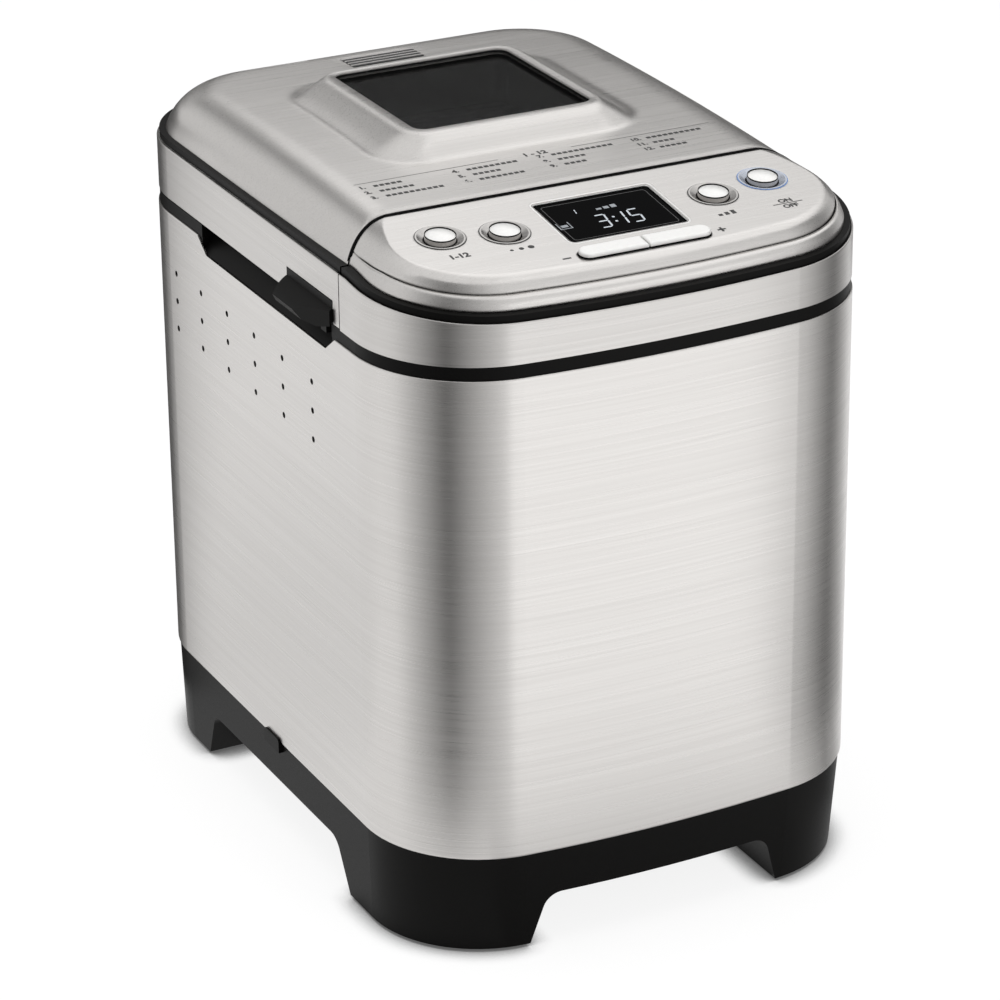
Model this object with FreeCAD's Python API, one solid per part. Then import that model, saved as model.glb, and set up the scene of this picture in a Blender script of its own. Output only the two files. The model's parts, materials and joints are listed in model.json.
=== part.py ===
import FreeCAD, Part
import math
import os

V = FreeCAD.Vector
ORIGIN = V(0, 0, 0)
RIGHT = V(1, 0, 0)
BACKWARD = V(0, 1, 0)
UP = V(0, 0, 1)

# Driving dimensions in millimetres. The body's plan is centred on x = 0 and y = 0, the feet stand on
# z = 0 and the front faces -Y. Every piece is shifted at the end, so that the hinge overhang is shared
# between front and back.

# Plan outline of the body
WIDTH = 260.0
DEPTH = 348.8
FRONT_CORNER = 63.0
BACK_CORNER = 60.0
BOW_RADIUS = 753.0

# Heights of the horizontal joints, from the floor up
LEG_BOTTOM = 1.8
PAD_HEIGHT = 3.0
ARCH_TOP = 29.0
BASE_TOP = 53.9
WRAP_TOP = 302.8
DECK_TOP = 309.6
LID_BOTTOM = 310.0
TRIM_TOP = 337.6
BAND_HEIGHT = 3.4
CROWN_TOP = 361.2
PLATEAU_TOP = 370.6

# Sheet and moulding thicknesses, and the gaps between pieces
STEEL = 0.7
PLASTIC = 3.0
INNER_WALL = 2.5
SHELL = 1.2
EDGE_ROLL = 0.6
HEM_ROLL = 1.5
FIT = 0.3
RUNNING_GAP = 0.05

# How far a cutting shape reaches past the face it cuts, and a length beyond the whole machine
OVERCUT = 1.0
FAR = 400.0

# Insets of each tier from the plan outline
BASE_INSET_TOP = 1.0
BASE_INSET_FOOT = 3.6
BASE_SET_BACK = 2.6
COLLAR_INSET = 0.8
TRIM_INSET = 0.4
BAND_INSET = 1.8
BAND_WIDTH = 10.0
BEAD_INSET = 5.0
PANEL_INSET = 9.5
DOME_INSET = 3.6

# Base: arches between the legs, pads, posts, catches and the gland of the supply lead
ARCH_ACROSS = (70.0, 61.0)
ARCH_ALONG = (89.5, 76.0)
ARCH_ALONG_Y = 8.5
ARCH_CORNER = 10.0
PAD_X = 92.0
PAD_Y = (-118.0, 128.0)
PAD_RADIUS = 9.0
POST_X = 50.0
POST_Y = (-130.0, 100.0)
POST_RADIUS = 6.0
CATCH_Y = 2.5
CATCH_LENGTH = 18.0
CATCH_DROP = 5.0
CATCH_RISE = 2.6
CATCH_PROUD = 1.2
CATCH_ROOT = 5.0
CATCH_CORNER = 2.0
GLAND_Z = 43.0
GLAND_NECK = 6.0
GLAND_HEAD = 9.0
GLAND_TIP = 6.5
GLAND_BORE = 3.6
GLAND_DEPTH = 12.0
GLAND_PROUD = 3.0
GLAND_FLANGE = 5.0

# Collar behind the top of the wrap
SKIRT_DROP = 14.0
WIRING_HALF = 60.0
WIRING_Y = (-130.0, -100.0)

# Seam between the fixed control head and the lid
SEAM_Y = -82.5
SEAM_STRAIGHT = 100.0
SEAM_BEND = 37.6
SEAM_REACH = 125.0
SEAM_GAP = 0.8
TRIM_GAP = 0.4

# Control head: a panel plane that falls towards the front, over a bead and a groove
PANEL_Y = -97.0
PANEL_Z = 356.5
PANEL_SLOPE = 0.13
HEAD_KINK_Y = -98.0
HEAD_SLOPE = 0.1034
HEAD_FOOT = 5.0
PANEL_ROLL = 7.0
BEAD_HEIGHT = 7.0
BEAD_ROLL = 3.0
GROOVE_INSET = 8.7
GROOVE_WIDTH = 0.8
GROOVE_DEPTH = 2.5
GROOVE_LAP = 0.5
RIB_X = 73.5
RIB_WIDTH = 3.0
RIB_LENGTH = 70.0

# Lid cover
DOME_ROLL = 29.0
DOME_DROP = 50.0
CROWN_RADIUS = 3170.0
CROWN_Y = 50.0
WINDOW_HALF = 48.8
WINDOW_FRONT = -11.5
WINDOW_BACK = 89.0
WINDOW_CORNER = 7.0
PLATEAU_RIM = 4.5
PLATEAU_SPREAD = (22.0, 9.5, 10.5)
PLATEAU_CORNER = 24.0
PLATEAU_FOOT = 4.0
PLATEAU_ROLL = 6.0
PLATEAU_BLEND = 9.0
LOUVER_LENGTH = 41.0
LOUVER_WIDTH = 2.0
LOUVER_PITCH = 4.0
LOUVER_Y = (123.5, 127.5, 131.5, 135.5)
LOUVER_LIP = 0.8
LOUVER_SINK = 0.2

# Panes of the window and the lid's lining
PANE = 3.0
PANE_LAP = 2.0
SEAL_THICKNESS = 0.5
SEAL_LAPS = (0.9, 0.2)
FRAME_LAPS = (2.0, -0.5)
LINER_Z = 336.0
LINER_RISE = 2.0
LINER_EDGE = 4.0
LID_SCREW_X = 96.0
LID_SCREW_Y = (-60.0, 140.0)

# Hinge at the rear
HINGE_RADIUS = 5.5
HINGE_PIN_RADIUS = 2.0
HINGE_GAP = 0.6
HINGE_Z = 306.0
HINGE_X = 80.0
HINGE_LEAF = 11.0
HINGE_SIDE_GAP = 0.4
HINGE_ARM = 2.6
KNUCKLE_DROP = 8.0
KNUCKLE_TOP = 4.0

# Finger recess and lift tab on each side
RECESS_FRONT = -76.0
RECESS_BACK = 66.0
RECESS_FLOOR = 295.0
RECESS_DEPTH = 8.0
RECESS_RISE = 8.0
RECESS_LEAN = 1.5
RECESS_RAMP = 12.0
RECESS_BLOCK = 16.0
RECESS_END = 18.0
TAB_FRONT = -84.5
TAB_BACK = -33.0
TAB_TOP = 321.8
TAB_REACH = 8.0
TAB_FULL = 18.0
TAB_END = 1.5
TAB_PROUD = 0.2
TAB_NOSE = 0.6
TAB_TOE = 3.8
TAB_EDGE = (1.5, 4.0)
TAB_ROOTS = (1.5, 8.0)
HOOK_Y = -79.0
HOOK_LENGTH = 6.0
HOOK_DEPTH = (1.0, 2.5)
HOOK_LOW = 304.0

# Vent holes in each side
VENT_RADIUS = 1.6
VENT_Y = (106.5, 74.8, 42.2, 9.0, -24.6, -59.0)
VENT_Z = (242.0, 257.0, 272.0)

# Baking chamber, on the drive's upright axis
DRIVE_Y = 42.0
CHAMBER_HALF_X = 100.0
CHAMBER_HALF_Y = 106.0
CHAMBER_CORNER = 24.0
CHAMBER_FLOOR = 96.0
CHAMBER_FLANGE = 8.0
SENSOR_X = 30.0
SENSOR_Z = 180.0
SENSOR_RADIUS = 3.0
SENSOR_COLLAR = 8.0
SENSOR_OUT = 18.0
SENSOR_IN = 7.0
SENSOR_PLATE = 2.0

# Heating element and the clips that carry it
ELEMENT_RADIUS = 3.25
ELEMENT_Z = 128.0
ELEMENT_HALF_X = 92.0
ELEMENT_HALF_Y = 98.5
ELEMENT_BEND = 20.0
TERMINAL_X = 15.0
TERMINAL_BEND = 6.0
TERMINAL_LENGTH = 12.0
CLIP_Y = 45.0
CLIP_WIDTH = 10.0
CLIP_SHEET = 1.5
CLIP_HEIGHT = 10.0
CLIP_REACH = 5.0
CLIP_TIP = 3.0

# Pan lock: tabs in the socket hold lugs on the pan's base ring
LOCK_TURNS = (0.0, 120.0, 240.0)
SOCKET_INNER = 40.0
SOCKET_WALL = 3.0
SOCKET_HEIGHT = 14.0
SOCKET_FLANGE = 10.0
SOCKET_SHEET = 1.5
LOCK_TAB_SPAN = 16.0
LOCK_TAB_INNER = 37.6
LOCK_TAB_RISE = (10.0, 13.0)
LOCK_LUG_SPAN = 12.0
LOCK_LUG_OUTER = 39.4
LOCK_LUG_RISE = (5.0, 9.0)
BASE_RING_OUTER = 36.5
BASE_RING_INNER = 33.5
BASE_RING_LIFT = 1.0

# Bread pan and its wire bail
PAN_BOTTOM = 118.0
PAN_RIM = 268.0
PAN_TOP_HALF = (74.0, 89.0)
PAN_BOTTOM_HALF = (69.0, 80.0)
PAN_CORNER = 21.0
PAN_WALL = 2.0
PAN_FLOOR = 2.5
PAN_FOOT_ROLL = 8.0
PAN_INNER_ROLL = 7.0
PAN_LIP = 4.0
PAN_LIP_HEIGHT = 3.0
PAN_HUB_RADIUS = 12.0
PAN_HUB_FLARE = 2.0
PAN_HUB_TIP = 9.0
PAN_HUB_TOP = 130.0
PAN_HUB_BOTTOM = 113.0
BAIL_RADIUS = 2.0
BAIL_PIVOT_Z = 274.0
BAIL_REACH = 56.0
BAIL_X = 80.5
BAIL_BEND = 8.0
BAIL_END_BEND = 3.0
BAIL_END = 4.0
EAR_X = 75.0
EAR_RADIUS = 8.0
EAR_SHEET = 3.0

# Kneading paddle
PADDLE_LIFT = 0.6
PADDLE_HUB = (9.5, 7.5)
PADDLE_HUB_TOP = 148.0
PADDLE_CAP = 2.0
PADDLE_ROOT = 4.0
PADDLE_REACH = 42.0
PADDLE_HEIGHT = 34.0
PADDLE_BLADE = 5.0
PADDLE_SHOULDER = 14.0
PADDLE_BULGE = (2.0, 12.0)
PADDLE_SAG = 10.0

# Chassis plate, motor and boards in the base
MOTOR_Y = -115.0
PLATE_BOTTOM = 57.0
PLATE_TOP = 59.0
PLATE_HALF = 88.0
PLATE_FRONT = 46.0
PLATE_BACK = 72.0
PLATE_CORNER = 14.0
MOTOR_HOLE = 12.0
SCREW_RADIUS = 4.0
SCREW_HEAD = 2.4
SCREW_TAPER = 1.0
CROSS_LENGTH = 2.2
CROSS_WIDTH = 0.5
CROSS_DEPTH = 1.0
MOTOR_CAP_RADII = (28.0, 34.0)
MOTOR_CAP = 12.0
STACK_HALF = 40.0
STACK_HEIGHT = 40.0
STACK_CORNER = 10.0
MOTOR_BOSS_RADIUS = 10.0
MOTOR_BOSS = 6.0
MOTOR_SHAFT_PROUD = 4.0
CAPACITOR_X = -64.0
CAPACITOR_Y = 8.0
CAPACITOR_RADIUS = 15.0
CAPACITOR_HEIGHT = 44.0
CAPACITOR_ROLL = 3.0
POWER_BOARD_X = 66.0
POWER_BOARD_Y = (-25.0, 40.0)
POWER_BOARD_HEIGHT = 80.0
TRANSFORMER_DEPTH = 19.0
TRANSFORMER_Y = (5.0, 33.0)
TRANSFORMER_Z = (8.0, 40.0)
RELAY_DEPTH = 14.0
RELAY_Y = (-15.0, 2.0)
RELAY_Z = (50.0, 66.0)

# Belt drive under the chamber: pedestal, shafts, pulleys, belt and dog coupling
SHAFT_RADIUS = 4.0
SHAFT_TOP = 107.0
SHAFT_END = 3.0
HUB_RADIUS = 13.0
HUB_RISE = 5.0
BUSH_RADIUS = 8.0
BUSH_LENGTH = 12.0
PEDESTAL_FOOT = 45.0
PEDESTAL_STEM = (22.0, 16.0)
PEDESTAL_FLANGE = 34.0
PEDESTAL_SHEET = 4.0
PEDESTAL_RIB = (15.0, 33.0)
BELT_BOTTOM = 45.0
BELT_TOP = 53.0
BELT_GAP = 0.3
BELT_THICKNESS = 2.0
LARGE_PULLEY = 55.0
SMALL_PULLEY = 11.0
PULLEY_FLANGE = 3.0
PULLEY_SHEET = 1.0
PULLEY_RIM = 7.0
PULLEY_HUB = 16.0
PULLEY_WINDOW = 44.0
PULLEY_SPOKES = 6
COUPLING_RADIUS = 15.0
COUPLING_INNER = 9.0
COUPLING_SHEET = 4.0
PRONG_SPAN = 36.0
PRONG_TOP = 111.5
DOG_LIFT = 1.5
DOG_WIDTH = 5.0
DOG_REACH = 13.0
CIRCLIP_RADIUS = 7.0
CIRCLIP_SHEET = 1.0
CIRCLIP_GAP = 3.0

# Buttons and display, in panel coordinates: u to the right, v up the slope from PANEL_Y, w along the normal
BUTTON_RADIUS = 7.4
BUTTON_PROUD = 2.4
BUTTON_DOME = 23.0
BUTTON_EDGE = 0.6
BUTTON_GAP = 0.8
BUTTON_PLACES = {
    "program_button": (-86.3, -15.1),
    "crust_button": (-55.7, -21.2),
    "size_button": (55.7, -21.2),
    "start_button": (86.3, -15.1),
}
RING_RADIUS = 11.9
RING_LOW = -4.0
RING_PROUD = 0.3
RING_LAND = 0.8
RING_DISH = 1.6
KEY_LENGTH = 34.5
KEY_DEPTH = 9.6
KEY_V = -55.5
KEY_GAP = 0.4
KEY_PROUD = 2.6
KEY_EDGE = 1.2
CAP_LOW = -3.0
STEM_RADIUS = 3.0
STEM_LOW = -7.6
OPENING_DEPTH = 10.0
DISPLAY_HALF = 31.0
DISPLAY_BACK = 0.0
DISPLAY_FRONT = -42.0
DISPLAY_CORNER = 2.5
LENS_TOP = -1.0
LENS_LOW = -3.0
MODULE_INSET = 1.5
BOARD_LOW = -14.0
BOARD_THICKNESS = 1.6
BOARD_HALF = 100.0
BOARD_V = (-62.0, 8.0)
BOARD_CORNER = 3.0
SHELF_SHEET = 2.0
SWITCH_HALF = 3.0
SWITCH_TOP = -9.0
PLUNGER_RADIUS = 1.7
PLUNGER_HEIGHT = 1.0

# Values worked out from the dimensions above
BACK_Y = DEPTH / 2
BOW_CENTRE_Y = BOW_RADIUS - DEPTH / 2
CORNER_X = WIDTH / 2 - FRONT_CORNER
CORNER_Y = BOW_CENTRE_Y - math.sqrt((BOW_RADIUS - FRONT_CORNER) ** 2 - CORNER_X ** 2)
BACK_CORNER_X = WIDTH / 2 - BACK_CORNER
BACK_CORNER_Y = DEPTH / 2 - BACK_CORNER
PAD_PLACES = [(x, y) for x in (-PAD_X, PAD_X) for y in PAD_Y]
POST_PLACES = [(x, y) for x in (-POST_X, POST_X) for y in POST_Y]
LID_SCREW_PLACES = [(x, y) for x in (-LID_SCREW_X, LID_SCREW_X) for y in LID_SCREW_Y]
HINGE_Y = BACK_Y + HINGE_GAP + HINGE_RADIUS
REAR_OVERHANG = HINGE_GAP + 2 * HINGE_RADIUS
COVER_BOTTOM = TRIM_TOP + BAND_HEIGHT
CROWN_CENTRE_Z = CROWN_TOP - CROWN_RADIUS
PANE_TOP = PLATEAU_TOP - SHELL - SEAL_THICKNESS
PANEL_TILT = math.degrees(math.atan(PANEL_SLOPE))
HEAD_TILT = math.degrees(math.atan(HEAD_SLOPE))
BOARD_TOP = BOARD_LOW + BOARD_THICKNESS
SOCKET_FLOOR = CHAMBER_FLOOR + STEEL
HUB_TOP = CHAMBER_FLOOR + HUB_RISE
STACK_LOW = PLATE_TOP + MOTOR_CAP
STACK_HIGH = STACK_LOW + STACK_HEIGHT
MOTOR_TOP = STACK_HIGH + MOTOR_CAP
PADDLE_LOW = PAN_HUB_TOP + PADDLE_LIFT


# General shapes
def box(x0, x1, y0, y1, z0, z1):
    return Part.makeBox(x1 - x0, y1 - y0, z1 - z0, V(x0, y0, z0))


def rod(radius, start, end):
    axis = V(*end) - V(*start)
    return Part.makeCylinder(radius, axis.Length, V(*start), axis)


def pipe(outer, inner, start, end):
    return rod(outer, start, end).cut(rod(inner, start, end))


def upright(radius, y, z0, z1):
    """Upright rod on the middle line of the machine."""
    return rod(radius, (0, y, z0), (0, y, z1))


def upright_pipe(outer, inner, z0, z1):
    """Upright tube on the drive's axis."""
    return pipe(outer, inner, (0, DRIVE_Y, z0), (0, DRIVE_Y, z1))


def upright_cone(radii, y, z0, z1):
    """Upright cone on the middle line, with its lower and upper radius."""
    return Part.makeCone(radii[0], radii[1], z1 - z0, V(0, y, z0), UP)


def line(a, b):
    return Part.LineSegment(V(*a), V(*b)).toShape()


def arc(a, middle, b):
    return Part.Arc(V(*a), V(*middle), V(*b)).toShape()


def level_arc(centre, radius, from_angle, to_angle, z):
    """Arc about centre in a level plane, between two angles in degrees."""
    points = []
    for angle in (from_angle, (from_angle + to_angle) / 2, to_angle):
        turn = math.radians(angle)
        points.append((centre[0] + radius * math.cos(turn), centre[1] + radius * math.sin(turn), z))
    return arc(*points)


def chain(edges):
    """The given edges with straight lines put in where one ends apart from the next one's start."""
    linked = edges[:1]
    for this, following in zip(edges, edges[1:]):
        end = this.lastVertex(True).Point
        start = following.firstVertex(True).Point
        if end.distanceToPoint(start) > Part.Precision.confusion():
            linked.append(line(end, start))
        linked.append(following)
    return linked


def closed_wire(edges):
    return Part.Wire(chain(edges + edges[:1])[:-1])


def polygon(points):
    return Part.makePolygon([V(*point) for point in points] + [V(*points[0])])


def extrude(wire, vector):
    return Part.Face(wire).extrude(V(*vector))


def sweep(path, radius):
    """Round bar along a path of edges."""
    start = path[0].firstVertex(True).Point
    direction = path[0].lastVertex(True).Point - start
    section = Part.Wire(Part.makeCircle(radius, start, direction))
    return Part.Wire(path).makePipeShell([section], True, False)


def joined(*shapes):
    return shapes[0].multiFuse(list(shapes[1:])).removeSplitter()


def mirrored(shape):
    return shape.mirror(ORIGIN, RIGHT)


def both_sides(shape):
    return [shape, mirrored(shape)]


def rounded_rectangle(half_x, y0, y1, radius, z):
    x = half_x - radius
    corners = [(x, y0 + radius, -90), (x, y1 - radius, 0), (-x, y1 - radius, 90), (-x, y0 + radius, 180)]
    return closed_wire([level_arc((cx, cy), radius, start, start + 90, z) for cx, cy, start in corners])


def rounded_block(half_x, y0, y1, radius, z0, z1):
    return extrude(rounded_rectangle(half_x, y0, y1, radius, z0), (0, 0, z1 - z0))


def edges_above(shape, z):
    return [edge for edge in shape.Edges if edge.BoundBox.ZMin > z]


def edges_below(shape, z):
    return [edge for edge in shape.Edges if edge.BoundBox.ZMax < z]


def top_rim(shape):
    """Edges of the highest face."""
    return max(shape.Faces, key=lambda face: face.CenterOfMass.z).Edges


def save(name, *solids):
    """Write one node, shifted so that the origin is below the middle of the whole machine."""
    shape = solids[0].copy() if len(solids) == 1 else Part.makeCompound([solid.copy() for solid in solids])
    shape.translate(V(0, -REAR_OVERHANG / 2, 0))
    shape.exportStep(f"parts/{name}.step")


# Body plan
def plan_wire(inset, z):
    """Body outline drawn in by inset: bowed front, large front corners, straight sides and back."""
    lean = math.degrees(math.asin(CORNER_X / (BOW_RADIUS - FRONT_CORNER)))
    corner = FRONT_CORNER - inset
    back = BACK_CORNER - inset
    return closed_wire([
        level_arc((0, BOW_CENTRE_Y), BOW_RADIUS - inset, -90 - lean, -90 + lean, z),
        level_arc((CORNER_X, CORNER_Y), corner, -90 + lean, 0, z),
        level_arc((BACK_CORNER_X, BACK_CORNER_Y), back, 0, 90, z),
        level_arc((-BACK_CORNER_X, BACK_CORNER_Y), back, 90, 180, z),
        level_arc((-CORNER_X, CORNER_Y), corner, 180, 270 - lean, z),
    ])


def plan_block(inset, z0, z1):
    return extrude(plan_wire(inset, z0), (0, 0, z1 - z0))


def plan_ring(outer_inset, inner_inset, z0, z1):
    return plan_block(outer_inset, z0, z1).cut(plan_block(inner_inset, z0, z1))


def front_zone(forward):
    """Everything ahead of the seam, with the seam moved forward by the given amount."""
    seam = SEAM_Y - forward
    angle = math.asin((SEAM_REACH - SEAM_STRAIGHT) / SEAM_BEND)
    side = seam - SEAM_BEND * (1 - math.cos(angle))
    bend = 90 - math.degrees(angle)
    right = level_arc((SEAM_STRAIGHT, seam - SEAM_BEND), SEAM_BEND, bend, 90, 0)
    left = level_arc((-SEAM_STRAIGHT, seam - SEAM_BEND), SEAM_BEND, 90, 180 - bend, 0)
    outer = [(-FAR, side, 0), (-FAR, -FAR, 0), (FAR, -FAR, 0), (FAR, side, 0)]
    rim = [line(a, b) for a, b in zip(outer, outer[1:])]
    return extrude(closed_wire([right, left] + rim), (0, 0, FAR))


def head_zone(rise_low, rise_high):
    """Space between two copies of the head's falling trim line, raised by rise_low and rise_high."""
    front = -DEPTH
    drop = HEAD_SLOPE * (HEAD_KINK_Y - front)
    shape = [(HEAD_KINK_Y + FAR, 0), (HEAD_KINK_Y, 0), (front, -drop)]
    low = [(-FAR, y, TRIM_TOP + z + rise_low) for y, z in shape]
    high = [(-FAR, y, TRIM_TOP + z + rise_high) for y, z in reversed(shape)]
    return extrude(polygon(low + high), (2 * FAR, 0, 0))


# Base
def arch(halves, middle, grow, along_x):
    """Tapered arch that runs right through the base, with rounded upper corners."""
    low, high = [half + grow for half in halves]
    top = ARCH_TOP + grow
    outline = [(-low, -OVERCUT), (low, -OVERCUT), (high, top), (-high, top)]
    if along_x:
        body = extrude(polygon([(-FAR, middle + s, z) for s, z in outline]), (2 * FAR, 0, 0))
    else:
        body = extrude(polygon([(middle + s, -FAR, z) for s, z in outline]), (0, 2 * FAR, 0))
    ridges = [edge for edge in edges_above(body, top - OVERCUT) if edge.BoundBox.DiagonalLength > FAR]
    return body.makeFillet(ARCH_CORNER, ridges)


def arches(grow):
    return arch(ARCH_ACROSS, 0, grow, False).fuse(arch(ARCH_ALONG, ARCH_ALONG_Y, grow, True))


def base_catch():
    """Left catch of the base: a small plate with rounded upper corners that overlaps the wrap."""
    side = -WIDTH / 2
    front = CATCH_Y - CATCH_LENGTH / 2
    top = BASE_TOP + CATCH_RISE
    across = (side - CATCH_PROUD, side + CATCH_ROOT)
    plate = box(*across, front, front + CATCH_LENGTH, BASE_TOP - CATCH_DROP, top)
    corners = [edge for edge in edges_above(plate, BASE_TOP) if edge.BoundBox.XLength > CATCH_PROUD]
    return plate.makeFillet(CATCH_CORNER, corners).cut(plan_block(-FIT, BASE_TOP - FIT, top + OVERCUT))


def base_form(wall, floor):
    """Tapered block of the base inside the given wall, with its foot set back a little from its top."""
    foot = plan_wire(BASE_INSET_FOOT + wall, floor)
    foot.translate(BACKWARD * BASE_SET_BACK)
    return Part.makeLoft([foot, plan_wire(BASE_INSET_TOP + wall, BASE_TOP)], True, True)


def base_moulding():
    """Hollow base on four legs, with posts for the chassis plate and a catch at each side."""
    cavity = base_form(PLASTIC, LEG_BOTTOM + PLASTIC).cut(arches(PLASTIC))
    shell = base_form(0, LEG_BOTTOM).cut(cavity).cut(arches(0)).cut(Part.makeCompound(foot_pads()))
    posts = [rod(POST_RADIUS, (x, y, ARCH_TOP + PLASTIC), (x, y, PLATE_BOTTOM)) for x, y in POST_PLACES]
    hole = rod(GLAND_NECK, (0, BACK_Y - GLAND_DEPTH, GLAND_Z), (0, BACK_Y, GLAND_Z))
    return joined(shell, *posts, *both_sides(base_catch())).cut(hole)


def foot_pads():
    return [rod(PAD_RADIUS, (x, y, 0), (x, y, PAD_HEIGHT)) for x, y in PAD_PLACES]


def cord_gland():
    """Grommet in the rear wall of the base where the supply lead comes in."""
    inner = (0, BACK_Y - GLAND_DEPTH, GLAND_Z)
    outer = (0, BACK_Y + GLAND_PROUD, GLAND_Z)
    foot = V(*outer) - BACKWARD * GLAND_FLANGE
    head = Part.makeCone(GLAND_HEAD, GLAND_TIP, GLAND_FLANGE, foot, BACKWARD)
    head = head.cut(base_form(0, LEG_BOTTOM))
    return joined(rod(GLAND_NECK, inner, outer), head).cut(rod(GLAND_BORE, inner, outer))


# Body
def recess_outline(x):
    """Side cut-out for the fingers, sloping up at both ends."""
    top = WRAP_TOP + OVERCUT
    return polygon([
        (x, RECESS_BACK + RECESS_RAMP, top),
        (x, RECESS_BACK, RECESS_FLOOR),
        (x, RECESS_FRONT, RECESS_FLOOR),
        (x, RECESS_FRONT - RECESS_RAMP, top),
    ])


def body_wrap():
    """Bent steel sheet, rolled in at the foot to a hem on the base, with vent holes and finger cut-outs."""
    outer = plan_block(0, BASE_TOP, WRAP_TOP)
    outer = outer.makeFillet(HEM_ROLL, edges_below(outer, BASE_TOP + OVERCUT))
    outer = outer.makeFillet(EDGE_ROLL, top_rim(outer))
    inner = plan_block(STEEL, BASE_TOP + STEEL, WRAP_TOP)
    inner = inner.makeFillet(HEM_ROLL - STEEL, edges_below(inner, BASE_TOP + STEEL + OVERCUT))
    cuts = [inner, plan_block(BASE_INSET_TOP + PLASTIC, BASE_TOP, WRAP_TOP)]
    cuts.append(extrude(recess_outline(-FAR), (2 * FAR, 0, 0)))
    cuts += [rod(VENT_RADIUS, (-FAR, y, z), (FAR, y, z)) for y in VENT_Y for z in VENT_Z]
    return outer.cut(Part.makeCompound(cuts))


def recess_scoop():
    """Hollow behind the left cut-out, deeper towards the top."""
    side = -WIDTH / 2
    front = RECESS_FRONT - RECESS_RAMP / 2
    top = DECK_TOP + OVERCUT
    profile = [
        (side - OVERCUT, RECESS_FLOOR + FIT),
        (side + STEEL + FIT, RECESS_FLOOR + FIT),
        (side + RECESS_DEPTH, RECESS_FLOOR + RECESS_RISE),
        (side + RECESS_DEPTH + RECESS_LEAN, top),
        (side - OVERCUT, top),
    ]
    wire = polygon([(x, front, z) for x, z in profile])
    return extrude(wire, (0, RECESS_BACK - RECESS_FRONT + RECESS_RAMP, 0))


def top_collar():
    """Black collar that closes the top of the wrap and frames the chamber mouth."""
    low = WRAP_TOP - SKIRT_DROP
    inset = STEEL + FIT
    rim = plan_ring(COLLAR_INSET, COLLAR_INSET + PLASTIC, WRAP_TOP, DECK_TOP)
    skirt = plan_ring(inset, inset + INNER_WALL, low, WRAP_TOP)
    deck = plan_block(COLLAR_INSET, DECK_TOP - PLASTIC, DECK_TOP)
    ends = (RECESS_FRONT - RECESS_END, RECESS_BACK + RECESS_END)
    block = box(-WIDTH / 2, RECESS_BLOCK - WIDTH / 2, *ends, low, DECK_TOP)
    blocks = both_sides(block.common(plan_block(inset, low, DECK_TOP)))
    mouth = chamber_block(STEEL, low, DECK_TOP)
    wiring = box(-WIRING_HALF, WIRING_HALF, *WIRING_Y, low, DECK_TOP)
    cuts = [mouth, wiring, *both_sides(recess_scoop())]
    return joined(rim, skirt, deck, *blocks).cut(Part.makeCompound(cuts))


# Baking chamber
def chamber_block(shrink, z0, z1):
    half_y = CHAMBER_HALF_Y - shrink
    radius = CHAMBER_CORNER - shrink
    return rounded_block(CHAMBER_HALF_X - shrink, DRIVE_Y - half_y, DRIVE_Y + half_y, radius, z0, z1)


def chamber():
    """Drawn steel oven box with an outward flange under the collar's deck."""
    top = DECK_TOP - PLASTIC
    wall = chamber_block(0, CHAMBER_FLOOR, top).cut(chamber_block(STEEL, SOCKET_FLOOR, top))
    flange = chamber_block(-CHAMBER_FLANGE, top - STEEL, top).cut(chamber_block(STEEL, top - STEEL, top))
    front = DRIVE_Y - CHAMBER_HALF_Y
    near, far = front - OVERCUT, front + STEEL + OVERCUT
    holes = [upright(HUB_RADIUS, DRIVE_Y, CHAMBER_FLOOR, SOCKET_FLOOR)]
    for x in (-TERMINAL_X, TERMINAL_X):
        holes.append(rod(ELEMENT_RADIUS, (x, near, ELEMENT_Z), (x, far, ELEMENT_Z)))
    holes.append(rod(SENSOR_RADIUS, (SENSOR_X, near, SENSOR_Z), (SENSOR_X, far, SENSOR_Z)))
    return joined(wall, flange).cut(Part.makeCompound(holes))


def heating_element():
    """Tubular heater: one loop round the pan with both ends out through the front wall."""
    front = DRIVE_Y - ELEMENT_HALF_Y
    back = DRIVE_Y + ELEMENT_HALF_Y - ELEMENT_BEND
    x = ELEMENT_HALF_X - ELEMENT_BEND
    outlet = front - TERMINAL_BEND
    end = outlet - TERMINAL_LENGTH
    z = ELEMENT_Z
    return sweep(chain([
        line((TERMINAL_X, end, z), (TERMINAL_X, outlet, z)),
        level_arc((TERMINAL_X + TERMINAL_BEND, outlet), TERMINAL_BEND, 180, 90, z),
        level_arc((x, front + ELEMENT_BEND), ELEMENT_BEND, -90, 0, z),
        level_arc((x, back), ELEMENT_BEND, 0, 90, z),
        level_arc((-x, back), ELEMENT_BEND, 90, 180, z),
        level_arc((-x, front + ELEMENT_BEND), ELEMENT_BEND, 180, 270, z),
        level_arc((-TERMINAL_X - TERMINAL_BEND, outlet), TERMINAL_BEND, 90, 0, z),
        line((-TERMINAL_X, outlet, z), (-TERMINAL_X, end, z)),
    ]), ELEMENT_RADIUS)


def element_clips():
    """Hooks on the chamber's side walls that carry the heater."""
    clips = []
    wall = CHAMBER_HALF_X - STEEL
    tip_x = ELEMENT_HALF_X - CLIP_REACH
    seat = ELEMENT_Z - ELEMENT_RADIUS - FIT
    low = seat - CLIP_SHEET
    for middle in (DRIVE_Y - CLIP_Y, DRIVE_Y + CLIP_Y):
        ends = (middle - CLIP_WIDTH / 2, middle + CLIP_WIDTH / 2)
        plate = box(wall - CLIP_SHEET, wall, *ends, low - CLIP_HEIGHT, ELEMENT_Z + CLIP_HEIGHT)
        hook = box(tip_x, wall, *ends, low, seat)
        tip = box(tip_x, tip_x + CLIP_SHEET, *ends, low, seat + CLIP_TIP)
        clips += both_sides(joined(plate, hook, tip))
    return clips


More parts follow.
